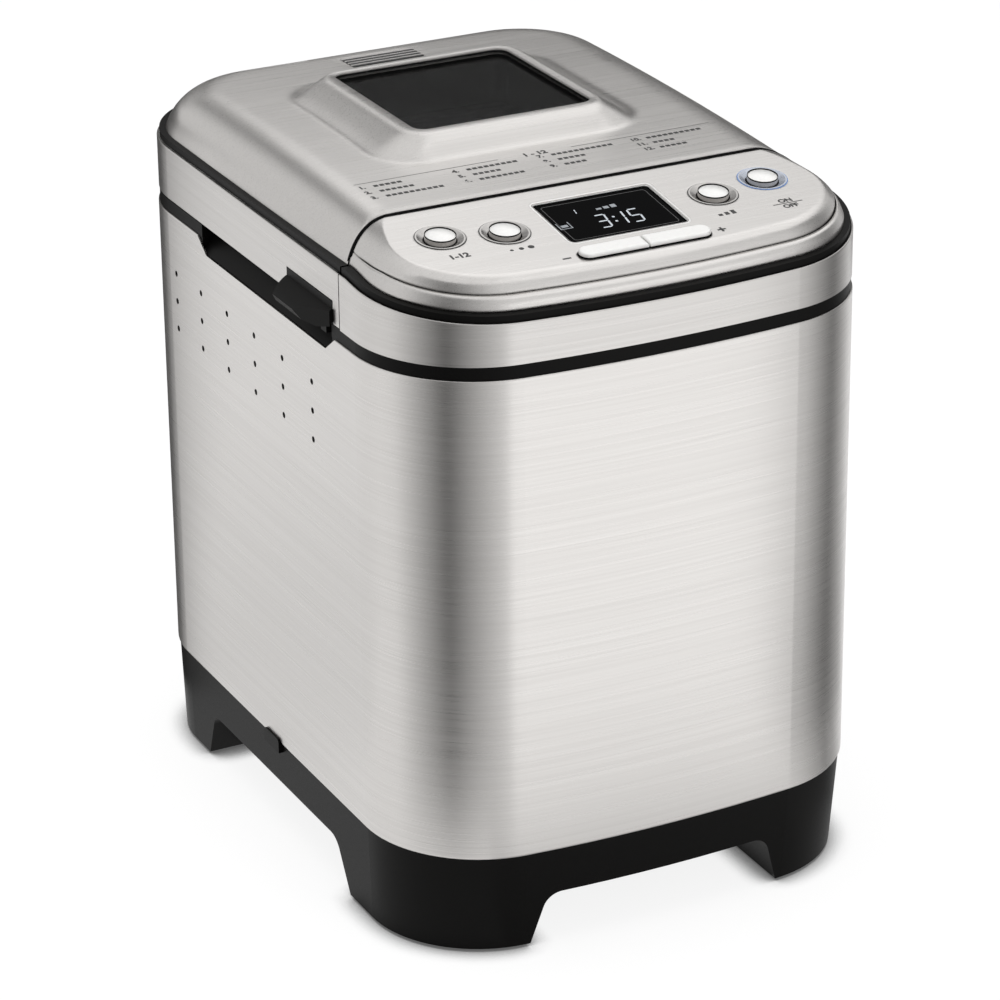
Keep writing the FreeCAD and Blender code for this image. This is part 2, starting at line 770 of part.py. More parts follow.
def temperature_sensor():
    wall = DRIVE_Y - CHAMBER_HALF_Y
    outer, back, inner = [(SENSOR_X, wall + y, SENSOR_Z) for y in (-SENSOR_OUT, -SENSOR_PLATE, SENSOR_IN)]
    plate = rod(SENSOR_COLLAR, back, (SENSOR_X, wall, SENSOR_Z))
    return joined(rod(SENSOR_RADIUS, outer, inner), plate)


def ring_sector(outer, inner, span, middle, z0, z1):
    """Part of a flat ring about the drive axis, span degrees wide."""
    wedge = Part.makeCylinder(outer, z1 - z0, V(0, 0, z0), UP, span)
    wedge.rotate(ORIGIN, UP, middle - span / 2)
    sector = wedge.cut(rod(inner, (0, 0, z0), (0, 0, z1)))
    sector.translate(V(0, DRIVE_Y, 0))
    return sector


def lock_ring(outer, inner, span, rise):
    """Three equal lugs or tabs of the pan lock, between two heights over the socket's floor."""
    low, high = [SOCKET_FLOOR + height for height in rise]
    return [ring_sector(outer, inner, span, turn, low, high) for turn in LOCK_TURNS]


def pan_socket():
    """Ring on the chamber floor with inward tabs that lock the pan."""
    outer = SOCKET_INNER + SOCKET_WALL
    wall = upright_pipe(outer, SOCKET_INNER, SOCKET_FLOOR, SOCKET_FLOOR + SOCKET_HEIGHT)
    rim = SOCKET_INNER + SOCKET_FLANGE
    flange = upright_pipe(rim, SOCKET_INNER, SOCKET_FLOOR, SOCKET_FLOOR + SOCKET_SHEET)
    tabs = lock_ring(SOCKET_INNER + SOCKET_WALL / 2, LOCK_TAB_INNER, LOCK_TAB_SPAN, LOCK_TAB_RISE)
    return joined(wall, flange, *tabs)


# Drive below the chamber
def bearing_housing():
    """Cast pedestal between the chassis plate and the chamber floor."""
    low = PLATE_TOP + PEDESTAL_SHEET
    high = CHAMBER_FLOOR - PEDESTAL_SHEET
    foot = upright(PEDESTAL_FOOT, DRIVE_Y, PLATE_TOP, low)
    stem = upright_cone(PEDESTAL_STEM, DRIVE_Y, low, CHAMBER_FLOOR)
    flange = upright(PEDESTAL_FLANGE, DRIVE_Y, high, CHAMBER_FLOOR)
    boss = upright(HUB_RADIUS, DRIVE_Y, CHAMBER_FLOOR, HUB_TOP)
    ribs = []
    for turn in (45, 135, 225, 315):
        rib = box(*PEDESTAL_RIB, -PEDESTAL_SHEET / 2, PEDESTAL_SHEET / 2, low, high)
        rib.rotate(ORIGIN, UP, turn)
        rib.translate(V(0, DRIVE_Y, 0))
        ribs.append(rib)
    return joined(foot, stem, flange, boss, *ribs).cut(upright(BUSH_RADIUS, DRIVE_Y, PLATE_TOP, HUB_TOP))


def drive_bushes():
    inner = SHAFT_RADIUS + RUNNING_GAP
    return [upright_pipe(BUSH_RADIUS, inner, z, z + BUSH_LENGTH) for z in (PLATE_TOP, HUB_TOP - BUSH_LENGTH)]


def chassis_plate():
    outline = (PLATE_HALF, MOTOR_Y - PLATE_FRONT, DRIVE_Y + PLATE_BACK, PLATE_CORNER)
    drive_hole = upright(BUSH_RADIUS + FIT, DRIVE_Y, PLATE_BOTTOM, PLATE_TOP)
    motor_hole = upright(MOTOR_HOLE, MOTOR_Y, PLATE_BOTTOM, PLATE_TOP)
    return rounded_block(*outline, PLATE_BOTTOM, PLATE_TOP).cut(Part.makeCompound([drive_hole, motor_hole]))


def screw(x, y, z):
    """Tapered head with a cross recess, standing on level z."""
    top = z + SCREW_HEAD
    head = Part.makeCone(SCREW_RADIUS, SCREW_RADIUS - SCREW_TAPER, SCREW_HEAD, V(x, y, z), UP)
    arms = []
    for half_x, half_y in ((CROSS_LENGTH, CROSS_WIDTH), (CROSS_WIDTH, CROSS_LENGTH)):
        arms.append(box(x - half_x, x + half_x, y - half_y, y + half_y, top - CROSS_DEPTH, top))
    return head.cut(Part.makeCompound(arms))


def chassis_screws():
    return [screw(x, y, PLATE_TOP) for x, y in POST_PLACES]


def motor_body():
    """Induction motor standing on the chassis plate: laminated stack between two end caps."""
    low = upright_cone(MOTOR_CAP_RADII, MOTOR_Y, PLATE_TOP, STACK_LOW)
    ends = (MOTOR_Y - STACK_HALF, MOTOR_Y + STACK_HALF)
    stack = rounded_block(STACK_HALF, *ends, STACK_CORNER, STACK_LOW, STACK_HIGH)
    high = upright_cone(MOTOR_CAP_RADII[::-1], MOTOR_Y, STACK_HIGH, MOTOR_TOP)
    boss = upright(MOTOR_BOSS_RADIUS, MOTOR_Y, MOTOR_TOP, MOTOR_TOP + MOTOR_BOSS)
    bore = upright(SHAFT_RADIUS + RUNNING_GAP, MOTOR_Y, PLATE_TOP, MOTOR_TOP + MOTOR_BOSS)
    return joined(low, stack, high, boss).cut(bore)


def motor_capacitor():
    y = MOTOR_Y + CAPACITOR_Y
    top = PLATE_TOP + CAPACITOR_HEIGHT
    can = rod(CAPACITOR_RADIUS, (CAPACITOR_X, y, PLATE_TOP), (CAPACITOR_X, y, top))
    return can.makeFillet(CAPACITOR_ROLL, edges_above(can, top - OVERCUT))


def beside_motor(x0, x1, y_range, z_range):
    """Box at heights over the chassis plate, placed along the machine from the motor's axis."""
    y0, y1 = [MOTOR_Y + y for y in y_range]
    z0, z1 = [PLATE_TOP + z for z in z_range]
    return box(x0, x1, y0, y1, z0, z1)


def power_board():
    """Circuit board on edge with its transformer and relay."""
    face = POWER_BOARD_X
    board = beside_motor(face, face + BOARD_THICKNESS, POWER_BOARD_Y, (0, POWER_BOARD_HEIGHT))
    transformer = beside_motor(face - TRANSFORMER_DEPTH, face, TRANSFORMER_Y, TRANSFORMER_Z)
    relay = beside_motor(face - RELAY_DEPTH, face, RELAY_Y, RELAY_Z)
    return joined(board, transformer, relay)


def motor_shaft():
    return upright(SHAFT_RADIUS, MOTOR_Y, BELT_BOTTOM - SHAFT_END, MOTOR_TOP + MOTOR_BOSS + MOTOR_SHAFT_PROUD)


def flanged_pulley(y, seat):
    """Flat pulley with a flange at each side of the belt seat."""
    low = BELT_BOTTOM - 2 * PULLEY_SHEET
    high = BELT_TOP + 2 * PULLEY_SHEET
    flanges = [upright(seat + PULLEY_FLANGE, y, z, z + PULLEY_SHEET) for z in (low, high - PULLEY_SHEET)]
    return joined(upright(seat, y, low, high), *flanges).cut(upright(SHAFT_RADIUS, y, low, high))


def small_pulley():
    return flanged_pulley(MOTOR_Y, SMALL_PULLEY)


def large_pulley():
    """Spoked pulley on the drive shaft."""
    window = (LARGE_PULLEY - PULLEY_RIM, PULLEY_HUB, PULLEY_WINDOW)
    step = 360 / PULLEY_SPOKES
    windows = [ring_sector(*window, step * i, 0, CHAMBER_FLOOR) for i in range(PULLEY_SPOKES)]
    return flanged_pulley(DRIVE_Y, LARGE_PULLEY).cut(Part.makeCompound(windows))


def belt_block(gap):
    """Solid inside a belt line that wraps both pulleys at the given gap from their seats."""
    big = LARGE_PULLEY + gap
    small = SMALL_PULLEY + gap
    lean = math.degrees(math.asin((big - small) / (DRIVE_Y - MOTOR_Y)))
    back = level_arc((0, DRIVE_Y), big, -lean, 180 + lean, BELT_BOTTOM)
    front = level_arc((0, MOTOR_Y), small, 180 + lean, 360 - lean, BELT_BOTTOM)
    return extrude(closed_wire([back, front]), (0, 0, BELT_TOP - BELT_BOTTOM))


def drive_belt():
    return belt_block(BELT_GAP + BELT_THICKNESS).cut(belt_block(BELT_GAP))


def drive_shaft():
    return upright(SHAFT_RADIUS, DRIVE_Y, BELT_BOTTOM - SHAFT_END, SHAFT_TOP)


def drive_coupling():
    """Disc on the drive shaft with two prongs that push the pan shaft's cross bar."""
    low = SHAFT_TOP - COUPLING_SHEET
    disc = upright_pipe(COUPLING_RADIUS, SHAFT_RADIUS, low, SHAFT_TOP)
    prong = (COUPLING_RADIUS, COUPLING_INNER, PRONG_SPAN)
    prongs = [ring_sector(*prong, turn, low, PRONG_TOP) for turn in (0, 180)]
    return joined(disc, *prongs)


def shaft_circlip():
    low = HUB_TOP + FIT
    high = low + CIRCLIP_SHEET
    ring = upright_pipe(CIRCLIP_RADIUS, SHAFT_RADIUS, low, high)
    return ring.cut(box(0, CIRCLIP_RADIUS, DRIVE_Y - CIRCLIP_GAP / 2, DRIVE_Y + CIRCLIP_GAP / 2, low, high))


# Bread pan
def pan_block(shrink, z0, z1):
    """Tapered block with the pan's outline, between two heights."""
    sections = []
    for z in (z0, z1):
        share = (z - PAN_BOTTOM) / (PAN_RIM - PAN_BOTTOM)
        half_x, half_y = [low + share * (high - low) for low, high in zip(PAN_BOTTOM_HALF, PAN_TOP_HALF)]
        y0 = DRIVE_Y - half_y + shrink
        y1 = DRIVE_Y + half_y - shrink
        sections.append(rounded_rectangle(half_x - shrink, y0, y1, PAN_CORNER - shrink, z))
    return Part.makeLoft(sections, True, True)


def bread_pan():
    """Cast pan with a rolled rim and a bearing hub in its floor."""
    floor = PAN_BOTTOM + PAN_FLOOR
    outer = pan_block(0, PAN_BOTTOM, PAN_RIM)
    outer = outer.makeFillet(PAN_FOOT_ROLL, edges_below(outer, PAN_BOTTOM + OVERCUT))
    inner = pan_block(PAN_WALL, floor, PAN_RIM + OVERCUT)
    inner = inner.makeFillet(PAN_INNER_ROLL, edges_below(inner, floor + OVERCUT))
    lip = pan_block(-PAN_LIP, PAN_RIM - PAN_LIP_HEIGHT, PAN_RIM)
    middle = PAN_BOTTOM + PAN_FLOOR / 2
    hub_up = upright_cone((PAN_HUB_RADIUS + PAN_HUB_FLARE, PAN_HUB_TIP), DRIVE_Y, middle, PAN_HUB_TOP)
    hub_down = upright(PAN_HUB_RADIUS, DRIVE_Y, PAN_HUB_BOTTOM, middle)
    bore = upright(SHAFT_RADIUS + RUNNING_GAP, DRIVE_Y, PAN_HUB_BOTTOM, PAN_HUB_TOP)
    return joined(joined(outer, lip).cut(inner), hub_up, hub_down).cut(bore)


def pan_base():
    """Ring under the pan with lugs that lock below the socket's tabs."""
    skirt = upright_pipe(BASE_RING_OUTER, BASE_RING_INNER, SOCKET_FLOOR + BASE_RING_LIFT, PAN_BOTTOM)
    root = (BASE_RING_OUTER + BASE_RING_INNER) / 2
    return joined(skirt, *lock_ring(LOCK_LUG_OUTER, root, LOCK_LUG_SPAN, LOCK_LUG_RISE))


def pan_ears():
    """Eyes on the rim that the bail turns in."""
    x0, x1 = EAR_X - EAR_SHEET / 2, EAR_X + EAR_SHEET / 2
    ends = ((x0, DRIVE_Y, BAIL_PIVOT_Z), (x1, DRIVE_Y, BAIL_PIVOT_Z))
    post = box(x0, x1, DRIVE_Y - EAR_RADIUS, DRIVE_Y + EAR_RADIUS, PAN_RIM, BAIL_PIVOT_Z)
    head = rod(EAR_RADIUS, *ends).cut(box(-FAR, FAR, -FAR, FAR, 0, PAN_RIM))
    return both_sides(joined(post, head).cut(rod(BAIL_RADIUS + RUNNING_GAP, *ends)))


def bail_handle():
    """Wire bail folded back over the rim, with its ends turned in through the ears."""
    z = BAIL_PIVOT_Z
    x = BAIL_X - BAIL_BEND
    end_x = BAIL_X - BAIL_END_BEND
    end_y = DRIVE_Y + BAIL_END_BEND
    back = DRIVE_Y + BAIL_REACH - BAIL_BEND
    inner = EAR_X - BAIL_END
    return sweep(chain([
        line((inner, DRIVE_Y, z), (end_x, DRIVE_Y, z)),
        level_arc((end_x, end_y), BAIL_END_BEND, -90, 0, z),
        level_arc((x, back), BAIL_BEND, 0, 90, z),
        level_arc((-x, back), BAIL_BEND, 90, 180, z),
        level_arc((-end_x, end_y), BAIL_END_BEND, 180, 270, z),
        line((-end_x, DRIVE_Y, z), (-inner, DRIVE_Y, z)),
    ]), BAIL_RADIUS)


def pan_shaft():
    """Shaft through the pan's floor with a cross bar below for the drive's prongs."""
    low = SHAFT_TOP + DOG_LIFT
    shaft = upright(SHAFT_RADIUS, DRIVE_Y, low, PADDLE_HUB_TOP - PADDLE_CAP)
    bar = box(-DOG_WIDTH / 2, DOG_WIDTH / 2, DRIVE_Y - DOG_REACH, DRIVE_Y + DOG_REACH, low, PRONG_TOP)
    return joined(shaft, bar)


def kneading_paddle():
    """Hub with one curved blade that rises towards its outer end."""
    y = DRIVE_Y - PADDLE_BLADE / 2
    seat = PADDLE_HUB_TOP - PADDLE_CAP
    top = PADDLE_LOW + PADDLE_HEIGHT
    root = (PADDLE_ROOT, y, PADDLE_LOW)
    toe = (PADDLE_REACH, y, PADDLE_LOW)
    bulge = (PADDLE_REACH - PADDLE_BULGE[0], y, top - PADDLE_BULGE[1])
    peak = (PADDLE_REACH - PADDLE_SHOULDER, y, top)
    sag = (PADDLE_SHOULDER, y, top - PADDLE_SAG)
    neck = (PADDLE_ROOT, y, seat)
    profile = Part.Wire([line(root, toe), arc(toe, bulge, peak), arc(peak, sag, neck), line(neck, root)])
    hub = upright_cone(PADDLE_HUB, DRIVE_Y, PADDLE_LOW, PADDLE_HUB_TOP)
    blade = extrude(profile, (0, PADDLE_BLADE, 0))
    return joined(hub, blade).cut(upright(SHAFT_RADIUS, DRIVE_Y, PADDLE_LOW, seat))


# Control head
def on_panel(shape):
    """Move a shape from panel coordinates to its place on the sloping panel."""
    placed = shape.copy()
    placed.rotate(ORIGIN, RIGHT, PANEL_TILT)
    placed.translate(V(0, PANEL_Y, PANEL_Z))
    return placed


def panel_space(w0, w1):
    """Slab between two levels of the panel's normal."""
    return on_panel(box(-FAR, FAR, -FAR, FAR, w0, w1))


def above_head_line(rise):
    """Everything above the head's falling line continued straight back, raised by rise."""
    block = box(-FAR, FAR, -FAR, FAR, 0, FAR)
    block.rotate(ORIGIN, RIGHT, HEAD_TILT)
    block.translate(V(0, HEAD_KINK_Y, TRIM_TOP + rise))
    return block


def head_trim():
    """Steel band round the head, lower towards the front, with a rolled upper edge."""
    block = plan_block(TRIM_INSET, DECK_TOP, COVER_BOTTOM).common(head_zone(-FAR / 2, 0))
    longest = WIDTH - 2 * TRIM_INSET - FIT
    rim = [edge for edge in edges_above(block, DECK_TOP) if edge.BoundBox.XLength < longest]
    block = block.makeFillet(EDGE_ROLL, rim)
    return block.cut(plan_block(TRIM_INSET + STEEL, DECK_TOP, COVER_BOTTOM)).common(front_zone(TRIM_GAP))


def head_band():
    ring = plan_ring(BAND_INSET, BAND_INSET + BAND_WIDTH, DECK_TOP, CROWN_TOP)
    return ring.common(head_zone(0, BAND_HEIGHT)).common(front_zone(SEAM_GAP))


def shoulder(shrink):
    """Block with the lid's rolled shoulder and a level top, so that head and lid are flush at the seam."""
    level = CROWN_TOP - (SEAM_Y - CROWN_Y) ** 2 / (2 * CROWN_RADIUS)
    block = plan_block(DOME_INSET + shrink, CROWN_TOP - DOME_DROP, level - shrink)
    return block.makeFillet(DOME_ROLL - shrink, top_rim(block))


def panel_form(shrink):
    """Rolled-over panel, groove and bead, drawn in by shrink on every side."""
    low = DECK_TOP + HEAD_FOOT
    bead_top = BAND_HEIGHT + BEAD_HEIGHT - shrink
    upper = plan_block(PANEL_INSET + shrink, low, FAR).common(panel_space(-FAR / 2, -shrink))
    upper = upper.makeFillet(PANEL_ROLL, top_rim(upper))
    bead = plan_block(BEAD_INSET + shrink, low, FAR).cut(above_head_line(bead_top))
    bead = bead.makeFillet(BEAD_ROLL, top_rim(bead))
    groove_end = GROOVE_INSET + GROOVE_WIDTH + GROOVE_LAP + shrink
    groove = plan_ring(GROOVE_INSET - shrink, groove_end, DECK_TOP, FAR)
    groove = groove.common(above_head_line(bead_top - GROOVE_DEPTH))
    return joined(upper, bead.cut(groove)).common(shoulder(shrink))


def key_block(side, grow, w0, w1):
    """One half of the bar below the display, with a round outer end."""
    half = KEY_DEPTH / 2 + grow
    end_u = KEY_LENGTH + grow - half
    straight = box(KEY_GAP - grow, end_u, KEY_V - half, KEY_V + half, w0, w1)
    key = joined(straight, rod(half, (end_u, KEY_V, w0), (end_u, KEY_V, w1)))
    return key if side > 0 else mirrored(key)


def display_block(grow, w0, w1):
    back = DISPLAY_BACK + grow
    front = DISPLAY_FRONT - grow
    return rounded_block(DISPLAY_HALF + grow, front, back, DISPLAY_CORNER, w0, w1)


def control_panel():
    """Steel pressing with openings for the display, the button rings and the bar keys."""
    below = head_zone(-FAR / 2, BAND_HEIGHT)
    shell = panel_form(0).cut(panel_form(SHELL)).cut(below).common(front_zone(SEAM_GAP))
    low, high = -OPENING_DEPTH, OPENING_DEPTH
    openings = [display_block(FIT, low, high)]
    openings += [rod(RING_RADIUS, (u, v, low), (u, v, high)) for u, v in BUTTON_PLACES.values()]
    openings += [key_block(side, FIT, low, high) for side in (-1, 1)]
    return shell.cut(on_panel(Part.makeCompound(openings)))


def button_ring(name):
    """Dished ring round a button."""
    u, v = BUTTON_PLACES[name]
    inner = BUTTON_RADIUS + BUTTON_GAP
    ring = pipe(RING_RADIUS, inner, (u, v, RING_LOW), (u, v, RING_PROUD))
    dish = Part.makeCone(inner, RING_RADIUS - RING_LAND, RING_DISH, V(u, v, RING_PROUD - RING_DISH), UP)
    return on_panel(ring.cut(dish))


def stem(u, v):
    return rod(STEM_RADIUS, (u, v, STEM_LOW), (u, v, CAP_LOW))


def round_button(name):
    """Domed cap on a stem that stops above its switch."""
    u, v = BUTTON_PLACES[name]
    cap = rod(BUTTON_RADIUS, (u, v, CAP_LOW), (u, v, BUTTON_PROUD))
    cap = cap.common(Part.makeSphere(BUTTON_DOME, V(u, v, BUTTON_PROUD - BUTTON_DOME)))
    rim = [edge for edge in edges_above(cap, 0) if edge.BoundBox.XLength > BUTTON_DOME / 2]
    return on_panel(joined(cap.makeFillet(BUTTON_EDGE, rim), stem(u, v)))


def bar_key(side):
    cap = key_block(side, 0, CAP_LOW, KEY_PROUD)
    cap = cap.makeFillet(KEY_EDGE, edges_above(cap, 0))
    return on_panel(joined(cap, stem(side * KEY_LENGTH / 2, KEY_V)))


def display_lens():
    return on_panel(display_block(0, LENS_LOW, LENS_TOP))


def display_module():
    return on_panel(display_block(-MODULE_INSET, BOARD_TOP, LENS_LOW))


def control_board():
    board = on_panel(rounded_block(BOARD_HALF, *BOARD_V, BOARD_CORNER, BOARD_LOW, BOARD_TOP))
    return board.common(plan_block(BAND_INSET + BAND_WIDTH + 2 * FIT, DECK_TOP, FAR))


def switch_places():
    return list(BUTTON_PLACES.values()) + [(side * KEY_LENGTH / 2, KEY_V) for side in (-1, 1)]


def tact_switches():
    """Small push switches on the control board, one below each button stem."""
    switches = []
    case_top = SWITCH_TOP - PLUNGER_HEIGHT
    for u, v in switch_places():
        case = box(u - SWITCH_HALF, u + SWITCH_HALF, v - SWITCH_HALF, v + SWITCH_HALF, BOARD_TOP, case_top)
        plunger = rod(PLUNGER_RADIUS, (u, v, case_top), (u, v, SWITCH_TOP))
        switches.append(on_panel(joined(case, plunger)))
    return switches


def head_shell():
    """Black inner moulding: rear wall along the seam, skirt behind the trim, shelf and ribs for the board."""
    side = TRIM_INSET + STEEL + FIT
    zone = front_zone(SEAM_GAP)
    core = plan_block(BAND_INSET + BAND_WIDTH + FIT, DECK_TOP, FAR)
    low = plan_block(side, DECK_TOP, COVER_BOTTOM).common(head_zone(-FAR / 2, 0))
    room = panel_form(SHELL + FIT).common(core).fuse(low).common(zone)
    rear = room.cut(front_zone(SEAM_GAP + INNER_WALL))
    skirt = low.cut(plan_block(side + INNER_WALL, DECK_TOP, FAR)).common(zone)
    shelf = core.common(zone).common(panel_space(BOARD_LOW - SHELF_SHEET, BOARD_LOW))
    below_board = panel_space(-FAR / 2, BOARD_LOW - SHELF_SHEET / 2)
    rib_end = SEAM_Y - SEAM_GAP - INNER_WALL / 2
    rib = box(RIB_X, RIB_X + RIB_WIDTH, rib_end - RIB_LENGTH, rib_end, DECK_TOP, FAR)
    return joined(rear, skirt, shelf, *both_sides(rib.common(below_board)))


# Lid
def crown_height(y):
    return CROWN_CENTRE_Z + math.sqrt(CROWN_RADIUS ** 2 - (y - CROWN_Y) ** 2)


def dome(shrink):
    """Crowned block with a large roll round its rim, drawn in by shrink."""
    block = plan_block(DOME_INSET + shrink, CROWN_TOP - DOME_DROP, FAR)
    crown = rod(CROWN_RADIUS - shrink, (-FAR, CROWN_Y, CROWN_CENTRE_Z), (FAR, CROWN_Y, CROWN_CENTRE_Z))
    block = block.common(crown)
    return block.makeFillet(DOME_ROLL - shrink, top_rim(block))


def window_outline(grow, z):
    half = WINDOW_HALF + grow
    return rounded_rectangle(half, WINDOW_FRONT - grow, WINDOW_BACK + grow, WINDOW_CORNER + grow, z)


def window_block(grow, z0, z1):
    return extrude(window_outline(grow, z0), (0, 0, z1 - z0))


def plateau(shrink):
    """Raised pad round the window, gently sloping at the sides and steeper in front and behind."""
    aside, ahead, behind = [PLATEAU_RIM + spread - shrink for spread in PLATEAU_SPREAD]
    front, back = WINDOW_FRONT - ahead, WINDOW_BACK + behind
    low = CROWN_TOP - PLATEAU_FOOT - shrink
    foot = rounded_rectangle(WINDOW_HALF + aside, front, back, PLATEAU_CORNER - shrink, low)
    rim = window_outline(PLATEAU_RIM - shrink, PLATEAU_TOP - shrink)
    pad = Part.makeLoft([foot, rim], True, True)
    return pad.makeFillet(PLATEAU_ROLL - shrink, top_rim(pad))


def lid_form(shrink):
    """Dome and plateau with a soft blend along the line where they meet."""
    form = joined(dome(shrink), plateau(shrink))
    reach = WINDOW_HALF + PLATEAU_RIM + PLATEAU_SPREAD[0]
    low = CROWN_TOP - 2 * PLATEAU_FOOT
    high = CROWN_TOP + PLATEAU_FOOT / 2
    foot = []
    for edge in form.Edges:
        bounds = edge.BoundBox
        level = low < bounds.ZMin and bounds.ZMax < high and bounds.ZLength < PLATEAU_FOOT
        if level and -reach < bounds.XMin and bounds.XMax < reach:
            foot.append(edge)
    return form.makeFillet(PLATEAU_BLEND + shrink, foot)


def louver_lip(y):
    """Raised lip behind one steam slot."""
    z = crown_height(y) - LOUVER_SINK
    return rod(LOUVER_LIP, (-LOUVER_LENGTH / 2, y, z), (LOUVER_LENGTH / 2, y, z))


def lid_cover():
    """Pressed steel cover: dome, window plateau with an open window, steam louvers at the rear."""
    shell = lid_form(0).cut(lid_form(SHELL))
    shell = shell.cut(plan_block(-OVERCUT, 0, COVER_BOTTOM)).cut(front_zone(-SEAM_GAP))
    shell = joined(shell, *[louver_lip(y + LOUVER_PITCH / 2) for y in LOUVER_Y])
    slots = [window_block(0, CROWN_TOP, FAR)]
    half = LOUVER_WIDTH / 2
    for y in LOUVER_Y:
        slots.append(rounded_block(LOUVER_LENGTH / 2, y - half, y + half, half, COVER_BOTTOM, FAR))
    return shell.cut(Part.makeCompound(slots))


def lid_trim():
    """Steel band round the lid with rolled edges and a notch at each side for the lift tabs."""
    block = plan_block(TRIM_INSET, LID_BOTTOM, TRIM_TOP)
    block = block.makeFillet(EDGE_ROLL, top_rim(block) + edges_below(block, LID_BOTTOM + OVERCUT))
    notch = box(-FAR, FAR, TAB_FRONT - FIT, TAB_BACK + FIT, 0, TAB_TOP + FIT)
    cuts = [plan_block(TRIM_INSET + STEEL, LID_BOTTOM, TRIM_TOP), front_zone(-TRIM_GAP), notch]
    return block.cut(Part.makeCompound(cuts))


def lid_band():
    """Black moulding between trim and cover, with the wall that closes the lid's front."""
    low = LID_BOTTOM + LINER_RISE
    front = front_zone(-SEAM_GAP)
    lip = plan_ring(BAND_INSET, BAND_INSET + BAND_WIDTH, TRIM_TOP, COVER_BOTTOM).cut(front)
    lower = plan_block(TRIM_INSET + STEEL + FIT, low, TRIM_TOP)
    upper = lid_form(SHELL + FIT / 2).common(box(-FAR, FAR, -FAR, FAR, TRIM_TOP, FAR))
    wall = front_zone(-SEAM_GAP - INNER_WALL).cut(front).common(upper.fuse(lower))
    return joined(lip, wall)


def lid_liner():
    """Drawn inner tray of the lid with an opening below the window."""
    inset = TRIM_INSET + STEEL + FIT
    front = SEAM_GAP + INNER_WALL
    outer = plan_block(inset, LID_BOTTOM + LINER_RISE, TRIM_TOP).cut(front_zone(-front))
    hollow = plan_block(inset + STEEL, LID_BOTTOM, LINER_Z).cut(front_zone(-front - STEEL))
    return outer.cut(hollow).cut(window_block(-LINER_EDGE, 0, FAR))


def window_glass():
    return window_block(PANE_LAP, PANE_TOP - PANE, PANE_TOP)


def window_seal():
    """Gasket between the glass and the cover."""
    outer, inner = [window_block(lap, PANE_TOP, PANE_TOP + SEAL_THICKNESS) for lap in SEAL_LAPS]
    return outer.cut(inner)


def window_frame():
    """Black tube between the two panes."""
    outer, inner = [window_block(lap, TRIM_TOP + PANE, PANE_TOP - PANE) for lap in FRAME_LAPS]
    return outer.cut(inner)


def inner_glass():
    return window_block(PANE_LAP, TRIM_TOP, TRIM_TOP + PANE)


def lid_tab():
    """Left lift tab: a plate in the trim's notch, a lip that narrows to the front, and a small hook."""
    face = -WIDTH / 2 + TRIM_INSET
    tip = face - TAB_REACH
    y = TAB_FRONT
    plate = box(face - TAB_PROUD, face + STEEL + FIT / 2, TAB_FRONT, TAB_BACK, LID_BOTTOM, TAB_TOP)
    root_low, root_high = [(face, y, LID_BOTTOM + rise) for rise in TAB_ROOTS]
    nose = (tip, y, LID_BOTTOM - TAB_NOSE)
    toe, heel = [(tip + across, y, LID_BOTTOM - TAB_TOE) for across in TAB_EDGE]
    back_of_lip = ((tip + face) / 2, y, (nose[2] + root_high[2]) / 2 + TAB_EDGE[0])
    section = Part.Wire([
        arc(root_high, back_of_lip, nose),
        line(nose, toe),
        line(toe, heel),
        line(heel, root_low),
        line(root_low, root_high),
    ])
    corner = polygon([
        (tip - OVERCUT, y - OVERCUT, 0),
        (face - TAB_END, y - OVERCUT, 0),
        (tip - OVERCUT, TAB_BACK - TAB_FULL, 0),
    ])
    lip = extrude(section, (0, TAB_BACK - TAB_FRONT, 0)).cut(extrude(corner, (0, 0, FAR)))
    hook_x = (face - HOOK_DEPTH[0], face + HOOK_DEPTH[1])
    hook = box(*hook_x, HOOK_Y, HOOK_Y + HOOK_LENGTH, HOOK_LOW, root_low[2])
    hook = hook.cut(box(face + STEEL + FIT / 2, FAR, -FAR, FAR, LID_BOTTOM - TAB_NOSE, FAR))
    return joined(plate, lip, hook)


# Hinge
def hinge_spans():
    """X ranges of each hinge: fixed leaf, lid leaf, fixed leaf, on the right side."""
    low = HINGE_X - 1.5 * HINGE_LEAF
    spans = [(low + i * HINGE_LEAF, low + (i + 1) * HINGE_LEAF) for i in range(3)]
    return [(x0 + HINGE_SIDE_GAP / 2, x1 - HINGE_SIDE_GAP / 2) for x0, x1 in spans]


def along_hinge(radius, x0, x1):
    return rod(radius, (x0, HINGE_Y, HINGE_Z), (x1, HINGE_Y, HINGE_Z))


def hinge_brackets():
    """Fixed leaves on the back of the collar."""
    leaves = []
    first, _, last = hinge_spans()
    for x0, x1 in (first, last):
        arm = box(x0, x1, BACK_Y - COLLAR_INSET, HINGE_Y, HINGE_Z - HINGE_ARM, HINGE_Z + HINGE_ARM)
        leaf = joined(arm, along_hinge(HINGE_RADIUS, x0, x1)).cut(along_hinge(HINGE_PIN_RADIUS, x0, x1))
        leaves += both_sides(leaf)
    return leaves


def lid_knuckles():
    """Moving leaves on the back of the lid's trim."""
    x0, x1 = hinge_spans()[1]
    face = BACK_Y - TRIM_INSET
    back = HINGE_Y + HINGE_RADIUS
    plate = polygon([
        (x0, BACK_Y + HINGE_GAP, HINGE_Z),
        (x0, BACK_Y + HINGE_GAP, LID_BOTTOM),
        (x0, face, LID_BOTTOM),
        (x0, face, TRIM_TOP - KNUCKLE_DROP),
        (x0, face + KNUCKLE_TOP, TRIM_TOP - KNUCKLE_DROP),
        (x0, back, HINGE_Z),
    ])
    leaf = joined(extrude(plate, (x1 - x0, 0, 0)), along_hinge(HINGE_RADIUS, x0, x1))
    return both_sides(leaf.cut(along_hinge(HINGE_PIN_RADIUS + RUNNING_GAP, x0, x1)))


